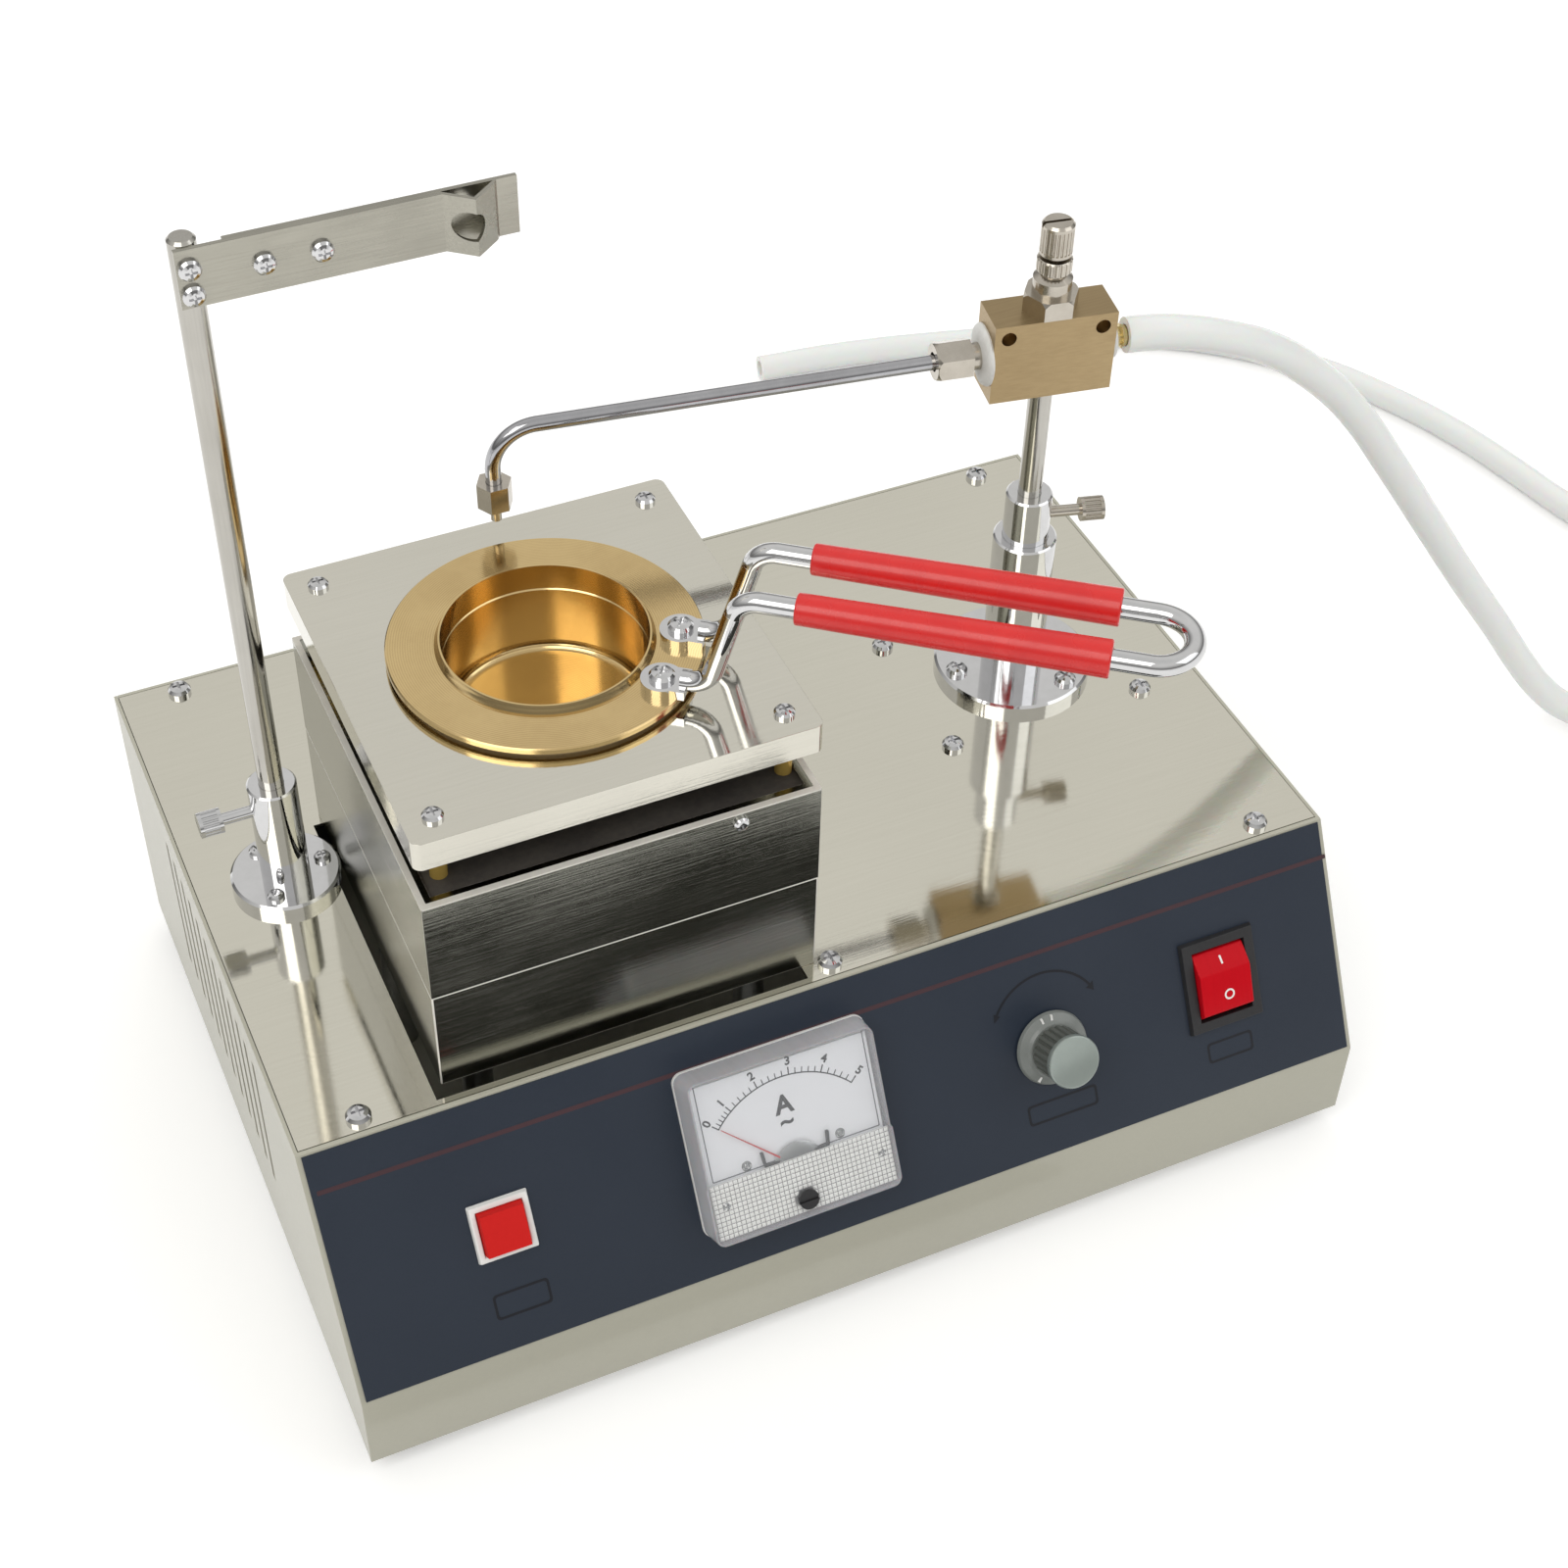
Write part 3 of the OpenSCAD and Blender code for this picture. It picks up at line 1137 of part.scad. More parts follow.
module rocker_housing() color(black) {
    // frame on the panel and a deep body behind it, open for the rocker
    difference() {
        union() {
            on_panel(deck_w - rocker_x, rocker_s, overlay_t) drafted(rocker_w, rocker_l, 1.8, 0.6);
            on_panel(deck_w - rocker_x, rocker_s, -sheet - 20)
                block(rocker_w - 4.4, rocker_l - 4.4, sheet + 20.6);
            for (x = [-6, 6]) on_panel(deck_w - rocker_x, rocker_s, -sheet - 30)
                translate([x, 0, 0]) block(0.8, 6.3, 11);
        }
        on_panel(deck_w - rocker_x, rocker_s, -sheet - 14)
            block(rocker_key_w + 2 * rocker_gap, 2 * (rocker_reach + rocker_gap), 40);
        on_panel(deck_w - rocker_x, rocker_s, -rocker_pivot) rotate([0, 90, 0])
            cylinder(d = 3 + 2 * rod_fit, h = rocker_key_w + 1.8, center = true);
    }
}
rocker_key_w = 19.6;
rocker_reach = 12.4;            // radius of the rocker's round ends about its pivot
rocker_gap = 0.4;
rocker_pivot = 3;               // depth of the pivot under the sheet's face
module rocker_key() color([0.78, 0.10, 0.14]) on_panel(deck_w - rocker_x, rocker_s, -rocker_pivot) {
    // the end faces are round about the pivot, so that they clear the frame
    end = rocker_reach + 0.6;
    intersection() {
        rotate([0, 90, 0])
            cylinder(r = rocker_reach, h = rocker_key_w, center = true, $fn = 96);
        rotate([90, 0, 90]) linear_extrude(rocker_key_w, center = true) polygon([
            [-end, -4], [end, -4], [end, 3.6], [5.1, 7.9], [4.1, 8.2], [-end, 7.2]]);
    }
    rotate([0, 90, 0]) cylinder(d = 3, h = rocker_key_w + 1.4, center = true);
}

module scan_housing() color([0.93, 0.93, 0.91]) difference() {
    union() {
        on_panel(scan_x, scan_s, overlay_t) drafted(scan_w, scan_w, 2, 0.5);
        on_panel(scan_x, scan_s, -sheet - 18) block(scan_w - 3.4, scan_w - 3.4, sheet + 18.6);
        for (x = [-4, 4]) on_panel(scan_x, scan_s, -sheet - 25)
            translate([x, 0, 0]) block(0.8, 4.8, 8);
    }
    on_panel(scan_x, scan_s, -sheet - 14) block(scan_key_w + 0.4, scan_key_w + 0.4, 30);
}

module scan_key() color(red) on_panel(scan_x, scan_s, overlay_t) {
    translate([0, 0, -5]) block(scan_key_w, scan_key_w, 5);
    translate([0, 0, -e]) drafted(scan_key_w, scan_key_w, 4.6, 0.4);
    translate([0, 0, -12.4]) block(6, 6, 8);
}

module power_inlet() color(black) {
    // appliance inlet with three pins in its well
    translate([inlet_x - case_w / 2, back_y, inlet_z]) rotate([-90, 0, 0]) difference() {
        union() {
            plate(50, 22.4, inlet_proud, 3);
            translate([0, 0, -22]) block(27.4, 19.8, 23);
        }
        translate([0, 0, -17]) block(24, 16.4, 30);
        for (x = [-1, 1]) translate([x * inlet_screw_pitch / 2, 0, 0]) {
            cylinder(d = 3 + 2 * seat_fit, h = 9);
            translate([0, 0, inlet_proud - 1.2]) cylinder(d = 5 + 2 * seat_fit, h = 9);
        }
    }
    for (p = [[-7, 2], [0, -2], [7, 2]])
        translate([inlet_x - case_w / 2 + p[0], back_y, inlet_z + p[1]]) rotate([-90, 0, 0])
            translate([0, 0, -17 - e]) block(2, 4, 14);
}

board_x = 75.5;                 // middle of the board from the case's right side
board_y = 48;                   // middle of the board from the case's back
module control_board() color([0.12, 0.35, 0.22]) {
    // circuit board on four pillars with its heat sink, transformer and terminals
    board = [96, 66];
    translate([case_w / 2 - board_x, back_y - board_y, foot_h + sheet]) {
        for (p = pattern(board[0] - 10, board[1] - 10))
            translate([p[0], p[1], 0]) cylinder(d = 6, h = 8);
        translate([0, 0, 8]) block(board[0], board[1], 1.6);
        translate([-28, 8, 9.6]) block(32, 28, 26);
        translate([20, 18, 9.6]) {
            block(34, 12, 2);
            for (i = [-3 : 3]) translate([i * 5, 0, 0]) block(1.6, 12, 24);
        }
        translate([10, -24, 9.6]) block(60, 9, 11);
        for (i = [0, 1]) translate([-4 + i * 16, -4, 9.6]) cylinder(d = 10, h = 18);
    }
}

case_shell();
base_plate();
rear_panel();
deck_plate();
front_overlay();
feet();
deck_screws();
case_screws();
furnace_lower_box();
furnace_upper_box();
furnace_posts();
furnace_screws();
refractory_block();
heater_coil();
standoffs();
top_plate();
plate_screws();
seat_ring();
left_flange();
left_flange_screws();
right_flange();
right_flange_screws();
motor_bracket();
bracket_screws();
swing_motor();
meter_case();
meter_dial();
meter_window();
heat_regulator();
scan_housing();
rocker_housing();
power_inlet();
control_board();
cup();
handle_rod();
handle_screws();
grip_sleeves();
left_rod();
clamp_front_strip();
clamp_rear_strip();
clamp_screws();
left_thumbscrew();
swing_collar();
motor_coupler();
right_thumbscrew();
arm_rod();
valve_block();
needle_valve();
valve_knob();
tube_fitting();
gas_tube();
nozzle();
hose_barb();
gas_hose();
meter_needle();
zero_adjuster();
heat_knob();
scan_key();
rocker_key();
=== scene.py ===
"""Looks of an open-cup flash point tester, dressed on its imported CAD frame.

Every size in the classes is in millimetres, in the frame's own axes: +X right, +Y back, +Z up.
"""
import logging
import math
from dataclasses import dataclass, field
from enum import Enum
from typing import Callable, Dict, List, Optional, Sequence, Tuple

import bmesh
import bpy
from bmesh.types import BMEdge, BMesh, BMVert
from bpy.types import Material, Node, NodeSocket, NodeTree, Object
from mathutils import Matrix, Vector


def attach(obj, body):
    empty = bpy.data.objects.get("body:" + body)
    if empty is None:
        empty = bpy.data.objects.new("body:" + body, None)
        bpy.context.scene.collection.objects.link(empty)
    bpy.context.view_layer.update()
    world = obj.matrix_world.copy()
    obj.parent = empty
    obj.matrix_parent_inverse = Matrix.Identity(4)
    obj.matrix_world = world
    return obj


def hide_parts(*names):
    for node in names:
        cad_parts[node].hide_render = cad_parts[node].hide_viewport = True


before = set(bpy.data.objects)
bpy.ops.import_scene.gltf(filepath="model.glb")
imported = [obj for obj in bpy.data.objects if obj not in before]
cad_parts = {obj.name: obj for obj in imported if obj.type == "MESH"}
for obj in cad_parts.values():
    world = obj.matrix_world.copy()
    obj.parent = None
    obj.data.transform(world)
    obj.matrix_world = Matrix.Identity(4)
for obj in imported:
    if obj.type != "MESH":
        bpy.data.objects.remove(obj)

LOG = logging.getLogger("tester")
MM = 0.001
Flat = Tuple[float, float]
Point = Tuple[float, float, float]
Colour = Tuple[float, float, float]

# Datum places of the frame.
DECK_LEFT, DECK_TOP = -179.05, 115.5
SLOPE_TOP_Y, PANEL_TILT = -90.2, math.atan2(75.3, 42.2)
OVERLAY = 0.5
CUP_AXIS = (-66.95, -12.874)

# Vertices closer than WELD are one, in a CAD node NODE_WELD (in metres). A print stands
# PRINT_RISE over its ground.
WELD, NODE_WELD, PRINT_RISE = 1e-4, 1e-6, 0.05

# What all finishes share: the part of the noise that is used, and plain shader values.
NOISE_SPAN = (0.36, 0.66)
BUMP_DEPTH, COAT_ROUGH, SCATTER_DEPTH = 0.0002, 0.08, 0.004
RING_SHARE, CLOUD_SHARE = 0.5, 0.55

# Scratches: how their noise is drawn out and tilted, where it cuts, and where they lie.
SCRATCH_DRAWN, SCRATCH_TILT = (5.0, 5.0, 420.0), math.radians(1.2)
SCRATCH_CUT, SCRATCH_AREA = (0.60, 0.72), (0.48, 0.62)
SCRATCH_COLOUR = (0.95, 0.94, 0.90, 1)


class Grain(Enum):
    """Which way the fine lines of a rolled or turned metal run."""

    ALONG_X = (1.0, 40.0, 40.0)
    ALONG_Z = (40.0, 40.0, 1.0)
    RIBBED = (40.0, 1.0, 1.0)
    NONE = (1.0, 1.0, 1.0)


# ---------------------------------------------------------------- node helpers
def add_node(tree: NodeTree, kind: str, options: Optional[Dict[str, object]] = None,
             **values: object) -> Node:
    """Adds a shader node and sets its options and inputs.

    Args:
        tree: the tree it goes into.
        kind: its type, without the leading ShaderNode.
        options: its own settings by name, set before the inputs.
        values: its inputs by name, with _ for a space.

    Returns:
        The node.
    """
    node = tree.nodes.new("ShaderNode" + kind)
    for name, value in (options or {}).items():
        setattr(node, name, value)
    for name, value in values.items():
        node.inputs[name.replace("_", " ")].default_value = value
    return node


def add_range(tree: NodeTree, value: NodeSocket, given: Flat, wanted: Flat) -> NodeSocket:
    """Maps a value from one range to another and returns the result's socket."""
    node = add_node(tree, "MapRange", From_Min=given[0], From_Max=given[1], To_Min=wanted[0],
                    To_Max=wanted[1])
    tree.links.new(value, node.inputs["Value"])
    return node.outputs["Result"]


def add_blend(tree: NodeTree, one: NodeSocket, two: NodeSocket, share: float) -> NodeSocket:
    """Mixes two values and returns the result's socket."""
    node = add_node(tree, "Mix", Factor=share)
    tree.links.new(one, node.inputs["A"])
    tree.links.new(two, node.inputs["B"])
    return node.outputs["Result"]


def add_math(tree: NodeTree, operation: str, one: NodeSocket,
             two: Optional[NodeSocket] = None) -> Node:
    """Adds a Math node fed by one or two sockets."""
    node = add_node(tree, "Math", {"operation": operation})
    for socket, source in zip(node.inputs, (one, two)):
        if source:
            tree.links.new(source, socket)
    return node


class Groups:
    """The shader node groups that the finishes share."""

    _built: Dict[str, NodeTree] = {}

    @classmethod
    def _new(cls, name: str, inputs: Dict[str, Optional[float]],
             outputs: Sequence[str]) -> Tuple[NodeTree, Node, Node]:
        """Makes an empty group with its sockets.

        Args:
            name: the group's name.
            inputs: default of each input by name, or None for a vector.
            outputs: name of each output.

        Returns:
            The tree, its input node and its output node.
        """
        tree = cls._built[name] = bpy.data.node_groups.new(name, "ShaderNodeTree")
        for label, value in inputs.items():
            kind = "NodeSocketVector" if value is None else "NodeSocketFloat"
            socket = tree.interface.new_socket(label, in_out="INPUT", socket_type=kind)
            if value is not None:
                socket.default_value = value
        for label in outputs:
            tree.interface.new_socket(label, in_out="OUTPUT", socket_type="NodeSocketFloat")
        return tree, tree.nodes.new("NodeGroupInput"), tree.nodes.new("NodeGroupOutput")

    @classmethod
    def lines(cls) -> NodeTree:
        """Fine parallel lines from noise drawn out along one axis, and soft clouds.

        Returns:
            The group, with inputs Vector, Scale, Clouds and Plain and outputs Line and Cloud.
        """
        if "fine_lines" in cls._built:
            return cls._built["fine_lines"]
        tree, gin, gout = cls._new(
            "fine_lines", {"Vector": None, "Scale": 100.0, "Clouds": 12.0, "Plain": None},
            ("Line", "Cloud"))
        noise = add_node(tree, "TexNoise", Detail=4.0, Roughness=0.65)
        cloud = add_node(tree, "TexNoise", Detail=3.0)
        for place, scale, node, out in (("Vector", "Scale", noise, "Line"),
                                        ("Plain", "Clouds", cloud, "Cloud")):
            tree.links.new(gin.outputs[place], node.inputs["Vector"])
            tree.links.new(gin.outputs[scale], node.inputs["Scale"])
            tree.links.new(node.outputs["Fac"], gout.inputs[out])
        return tree

    @classmethod
    def rings(cls) -> NodeTree:
        """Turning marks: fine rings about the Z axis through the mapped origin.

        Returns:
            The group, with inputs Vector and Scale and output Ring.
        """
        if "turned_rings" in cls._built:
            return cls._built["turned_rings"]
        tree, gin, gout = cls._new("turned_rings", {"Vector": None, "Scale": 900.0}, ("Ring",))
        wave = add_node(tree, "TexWave", {"wave_type": "RINGS", "rings_direction": "Z"},
                        Distortion=0.6, Detail=2.0)
        for name in ("Vector", "Scale"):
            tree.links.new(gin.outputs[name], wave.inputs[name])
        tree.links.new(wave.outputs["Fac"], gout.inputs["Ring"])
        return tree


@dataclass(frozen=True)
class Finish:
    """One surface finish, built as a Principled material with procedural detail.

    Attributes:
        name: the material's name.
        colour: base colour, linear.
        tint: second colour that clouds and lines mix in.
        metal: 1 for bare metal.
        rough: lowest and highest roughness.
        grain: which way its lines run.
        scale: how fine the lines are.
        bump: depth of the lines.
        clouds: scale of the soft variation.
        spread: how much of the tint shows.
        coat: clear coat weight.
        transmission: how much light goes through.
        subsurface: light scattered below the surface.
        alpha: opacity.
        ior: index of refraction.
        rings: turning marks about this XY place, if it is turned.
        ring_scale: how fine the turning marks are.
        scratch: how strongly single long scratches show.
    """

    name: str
    colour: Colour
    tint: Colour
    metal: float = 0.0
    rough: Flat = (0.4, 0.5)
    grain: Grain = Grain.NONE
    scale: float = 900.0
    bump: float = 0.05
    clouds: float = 60.0
    spread: float = 0.6
    coat: float = 0.0
    transmission: float = 0.0
    subsurface: float = 0.0
    alpha: float = 1.0
    ior: float = 1.45
    rings: Optional[Flat] = None
    ring_scale: float = 420.0
    scratch: float = 0.0

    def material(self) -> Material:
        """Builds the material, or returns the one already built.

        Returns:
            The finished material.
        """
        found = bpy.data.materials.get(self.name)
        if found:
            return found
        mat = bpy.data.materials.new(self.name)
        mat.use_nodes = True
        mat.diffuse_color = (*self.colour, 1)
        tree = mat.node_tree
        link, bsdf = tree.links.new, tree.nodes["Principled BSDF"]
        place = add_node(tree, "TexCoord").outputs["Object"]
        stretch = add_node(tree, "Mapping", Scale=self.grain.value)
        lines = add_node(tree, "Group", {"node_tree": Groups.lines()}, Scale=self.scale,
                         Clouds=self.clouds)
        link(place, stretch.inputs["Vector"])
        link(stretch.outputs["Vector"], lines.inputs["Vector"])
        link(place, lines.inputs["Plain"])
        height = lines.outputs["Line"]
        if self.rings:
            centre = add_node(tree, "Mapping",
                              Location=(-self.rings[0] * MM, -self.rings[1] * MM, 0))
            ring = add_node(tree, "Group", {"node_tree": Groups.rings()}, Scale=self.ring_scale)
            link(place, centre.inputs["Vector"])
            link(centre.outputs["Vector"], ring.inputs["Vector"])
            height = add_blend(tree, height, ring.outputs["Ring"], RING_SHARE)
        mask = add_blend(tree, height, lines.outputs["Cloud"], CLOUD_SHARE)
        colour = add_node(tree, "Mix", {"data_type": "RGBA"}, A=(*self.colour, 1),
                          B=(*self.tint, 1))
        link(add_range(tree, mask, NOISE_SPAN, (0.0, self.spread)), colour.inputs["Factor"])
        shown = colour.outputs["Result"]
        if self.scratch:
            shown = self._scratched(tree, place, shown)
        link(shown, bsdf.inputs["Base Color"])
        link(add_range(tree, mask, NOISE_SPAN, self.rough), bsdf.inputs["Roughness"])
        bump = add_node(tree, "Bump", Strength=self.bump, Distance=BUMP_DEPTH)
        link(height, bump.inputs["Height"])
        link(bump.outputs["Normal"], bsdf.inputs["Normal"])
        for socket, value in (
                ("Metallic", self.metal), ("Coat Weight", self.coat),
                ("Coat Roughness", COAT_ROUGH), ("Transmission Weight", self.transmission),
                ("Subsurface Weight", self.subsurface), ("Subsurface Scale", SCATTER_DEPTH),
                ("Alpha", self.alpha), ("IOR", self.ior)):
            bsdf.inputs[socket].default_value = value
        return mat

    def _scratched(self, tree: NodeTree, place: NodeSocket, under: NodeSocket) -> NodeSocket:
        """Lays long pale scratches over a colour where the sheet has been wiped.

        Args:
            tree: the material's tree.
            place: the object coordinates.
            under: the colour below.

        Returns:
            The colour with its scratches.
        """
        link = tree.links.new
        draw = add_node(tree, "Mapping", Scale=SCRATCH_DRAWN, Rotation=(0, SCRATCH_TILT, 0))
        fine = add_node(tree, "TexNoise", Scale=2.4, Detail=5.0, Roughness=0.7)
        worn = add_node(tree, "TexNoise", Scale=16.0, Detail=1.0)
        link(place, draw.inputs["Vector"])
        link(draw.outputs["Vector"], fine.inputs["Vector"])
        link(place, worn.inputs["Vector"])
        cut = add_range(tree, fine.outputs["Fac"], SCRATCH_CUT, (0.0, 1.0))
        area = add_range(tree, worn.outputs["Fac"], SCRATCH_AREA, (0.0, self.scratch))
        over = add_node(tree, "Mix", {"data_type": "RGBA"}, B=SCRATCH_COLOUR)
        link(add_math(tree, "MULTIPLY", cut, area).outputs[0], over.inputs["Factor"])
        link(under, over.inputs["A"])
        return over.outputs["Result"]


PAINT = Finish(
    "ivory_paint", (0.46, 0.45, 0.37), (0.42, 0.41, 0.34), rough=(0.34, 0.42), scale=700, bump=0.12,
    clouds=7, spread=0.5, coat=0.25)
FILM = Finish(
    "slate_film", (0.014, 0.022, 0.038), (0.019, 0.028, 0.046), rough=(0.34, 0.46), scale=1400,
    bump=0.18, clouds=20)
DECK_STEEL = Finish(
    "deck_sheet", (0.68, 0.66, 0.575), (0.61, 0.59, 0.51), metal=1, rough=(0.035, 0.085),
    grain=Grain.ALONG_X, scale=26, bump=0.035, clouds=9, spread=0.5)
PLATE_STEEL = Finish(
    "plate_sheet", (0.68, 0.66, 0.585), (0.61, 0.59, 0.52), metal=1, rough=(0.04, 0.10),
    grain=Grain.ALONG_X, scale=30, clouds=14, spread=0.5)
BOX_STEEL = Finish(
    "furnace_sheet", (0.32, 0.32, 0.28), (0.43, 0.425, 0.38), metal=1, rough=(0.08, 0.22),
    grain=Grain.ALONG_X, scale=34, bump=0.16, clouds=16, scratch=0.8)
# Pale, barely metallic colour of the furnace's rounded edges and hem: partly wear, partly a painted
# highlight along the folds.
EDGE_WEAR_AND_HIGHLIGHT = Finish(
    "edge_wear_and_highlight", (0.80, 0.78, 0.72), (0.62, 0.60, 0.55), metal=0.25, rough=(0.30, 0.42), scale=300,
    bump=0.1, spread=0.7)
STRIP_STEEL = Finish(
    "brushed_strip", (0.42, 0.405, 0.35), (0.31, 0.30, 0.26), metal=1, rough=(0.20, 0.34),
    grain=Grain.ALONG_X, scale=44, bump=0.16, clouds=30, spread=0.7)
ROD_STEEL = Finish(
    "ground_rod", (0.50, 0.485, 0.45), (0.38, 0.365, 0.33), metal=1, rough=(0.09, 0.20),
    grain=Grain.ALONG_Z, scale=40, bump=0.07, clouds=40)
NICKEL = Finish(
    "dull_nickel", (0.54, 0.50, 0.44), (0.40, 0.365, 0.31), metal=1, rough=(0.14, 0.24), scale=260,
    bump=0.06)
BLOCK_BRASS = Finish(
    "milled_brass", (0.42, 0.315, 0.175), (0.33, 0.24, 0.13), metal=1, rough=(0.30, 0.42),
    grain=Grain.ALONG_X, scale=30, bump=0.16, clouds=26, spread=0.75)
POST_BRASS = Finish(
    "post_brass", (0.86, 0.60, 0.16), (0.74, 0.50, 0.12), metal=0.55, rough=(0.12, 0.22),
    grain=Grain.ALONG_Z, scale=40, bump=0.06)
ZINC = Finish(
    "zinc_plate", (0.55, 0.56, 0.55), (0.46, 0.47, 0.46), metal=1, rough=(0.28, 0.42), scale=160,
    bump=0.1, clouds=30)
CHROME = Finish(
    "bright_plate", (0.66, 0.66, 0.67), (0.54, 0.54, 0.54), metal=1, rough=(0.035, 0.09), scale=240,
    bump=0.03, clouds=40, spread=0.5)
TUBE_STEEL = Finish(
    "drawn_tube", (0.45, 0.45, 0.47), (0.34, 0.34, 0.355), metal=1, rough=(0.06, 0.14), scale=240,
    bump=0.04, clouds=40)
BRASS = Finish(
    "turned_brass", (0.78, 0.66, 0.36), (0.62, 0.50, 0.25), metal=0.8, rough=(0.20, 0.34),
    grain=Grain.ALONG_Z, scale=40, bump=0.12, clouds=40, spread=0.7)
CUP_BRASS = Finish(
    "cup_brass", (0.69, 0.52, 0.26), (0.53, 0.38, 0.18), metal=1, rough=(0.10, 0.20), scale=220,
    bump=0.09, clouds=34, spread=0.7, rings=CUP_AXIS)
VINYL = Finish(
    "red_sleeve", (0.70, 0.026, 0.024), (0.60, 0.016, 0.018), rough=(0.22, 0.34), scale=120,
    bump=0.10, coat=0.2, subsurface=0.05)
RED_BUTTON = Finish(
    "scan_red", (0.66, 0.022, 0.020), (0.58, 0.018, 0.016), rough=(0.50, 0.60), scale=600,
    clouds=12, spread=0.5, ior=1.12)
RED_ROCKER = Finish(
    "red_rocker", (0.60, 0.004, 0.012), (0.48, 0.002, 0.008), rough=(0.24, 0.34),
    grain=Grain.RIBBED, scale=34, bump=0.06, clouds=12, spread=0.5, ior=1.2)
BLACK = Finish(
    "satin_black", (0.018, 0.018, 0.020), (0.028, 0.028, 0.030), rough=(0.34, 0.46), bump=0.14,
    clouds=50)
WHITE = Finish(
    "smooth_white", (0.86, 0.86, 0.84), (0.80, 0.80, 0.77), rough=(0.28, 0.36), scale=500,
    clouds=30, spread=0.5, coat=0.15)
KNOB_GREY = Finish(
    "knob_grey", (0.125, 0.135, 0.122), (0.10, 0.11, 0.10), rough=(0.34, 0.44), bump=0.10)
KNOB_LIGHT = Finish(
    "knob_skirt", (0.20, 0.215, 0.205), (0.17, 0.185, 0.175), rough=(0.30, 0.38), scale=700,
    bump=0.06, clouds=50, coat=0.2)
CAP_METAL = Finish(
    "spun_cap", (0.34, 0.385, 0.36), (0.28, 0.32, 0.30), metal=0.5, rough=(0.26, 0.34), scale=300,
    spread=0.5)
ACRYLIC = Finish(
    "cover_wall", (0.60, 0.61, 0.65), (0.50, 0.51, 0.55), rough=(0.06, 0.12), grain=Grain.RIBBED,
    scale=12, clouds=90, spread=0.8, coat=0.6, subsurface=0.2, alpha=0.5)
# Dark line round the dial: painted shade for the shadow and refracted edge of the cover's inner
# wall.
WALL_SHADE_INK = Finish(
    "face_line", (0.10, 0.105, 0.12), (0.14, 0.145, 0.16), rough=(0.45, 0.55), bump=0.03, clouds=12,
    spread=0.5)
DIMPLED = Finish(
    "dimpled_white", (0.86, 0.86, 0.84), (0.76, 0.76, 0.74), rough=(0.22, 0.32), scale=500,
    bump=0.04, coat=0.3)
# Dark grey of the flat rims between the meter strip's studs: painted shade in the valleys.
STUD_VALLEY_SHADE = Finish(
    "strip_valley_shade", (0.20, 0.20, 0.195), (0.27, 0.27, 0.26), scale=600, clouds=12, spread=0.5)
PRINT_DARK = Finish(
    "dark_print", (0.003, 0.004, 0.009), (0.004, 0.006, 0.012), clouds=12, spread=0.5)
PRINT_WINE = Finish("wine_print", (0.060, 0.024, 0.030), (0.048, 0.020, 0.027), clouds=12)
DIAL = Finish(
    "dial_card", (0.80, 0.81, 0.84), (0.76, 0.77, 0.80), rough=(0.45, 0.55), bump=0.03, clouds=30,
    spread=0.4)
INK = Finish(
    "dial_ink", (0.012, 0.012, 0.014), (0.02, 0.02, 0.022), rough=(0.45, 0.55), bump=0.03,
    clouds=12, spread=0.4)
RED_INK = Finish(
    "needle_red", (0.52, 0.02, 0.02), (0.44, 0.015, 0.015), bump=0.03, clouds=12, spread=0.4)
CLEAR = Finish(
    "clear_pane", (0.80, 0.82, 0.86), (0.76, 0.78, 0.83), rough=(0.03, 0.06), scale=200, bump=0.01,
    clouds=20, spread=0.3, coat=1.0, alpha=0.10)
CLAY = Finish(
    "fired_clay", (0.035, 0.031, 0.028), (0.075, 0.066, 0.056), rough=(0.75, 0.9), scale=500,
    bump=0.9, spread=0.8)
GASKET = Finish(
    "fibre_ring", (0.26, 0.18, 0.09), (0.36, 0.26, 0.14), rough=(0.7, 0.85), bump=0.5, spread=0.7)
WIRE = Finish(
    "coil_wire", (0.09, 0.08, 0.075), (0.14, 0.11, 0.09), metal=1, rough=(0.4, 0.6), bump=0.2,
    clouds=90, spread=0.7)
RUBBER = Finish(
    "sole_rubber", (0.012, 0.012, 0.012), (0.02, 0.02, 0.02), rough=(0.6, 0.75), bump=0.3,
    spread=0.7)
BOARD = Finish(
    "board_green", (0.01, 0.07, 0.035), (0.015, 0.10, 0.05), rough=(0.3, 0.45), scale=700, bump=0.2,
    spread=0.7)
HOSE = Finish(
    "milky_hose", (0.97, 0.97, 0.955), (0.95, 0.95, 0.93), rough=(0.18, 0.26), scale=90, bump=0.03,
    clouds=20, spread=0.4, transmission=0.12, subsurface=0.35, ior=1.35)
SEALANT = Finish(
    "white_sealant", (0.78, 0.78, 0.76), (0.66, 0.66, 0.63), rough=(0.5, 0.6), scale=700, bump=0.5,
    clouds=200)
SILVER = Finish(
    "silver_dome", (0.42, 0.43, 0.43), (0.30, 0.31, 0.31), metal=1, rough=(0.18, 0.28), scale=300,
    bump=0.04, spread=0.5)


# ---------------------------------------------------------------- mesh helpers
def panel_matrix(x: float, s: float, h: float = 0.0) -> Matrix:
    """Places a shape on the sloping panel.

    Args:
        x: distance from the deck's left edge.
        s: distance down the slope.
        h: height over the painted sheet.

    Returns:
        A matrix whose X is right, Y up the slope and Z out of the panel.
    """
    return (Matrix.Translation((DECK_LEFT + x, SLOPE_TOP_Y, DECK_TOP))
            @ Matrix.Rotation(PANEL_TILT, 4, "X") @ Matrix.Translation((0, -s, h)))


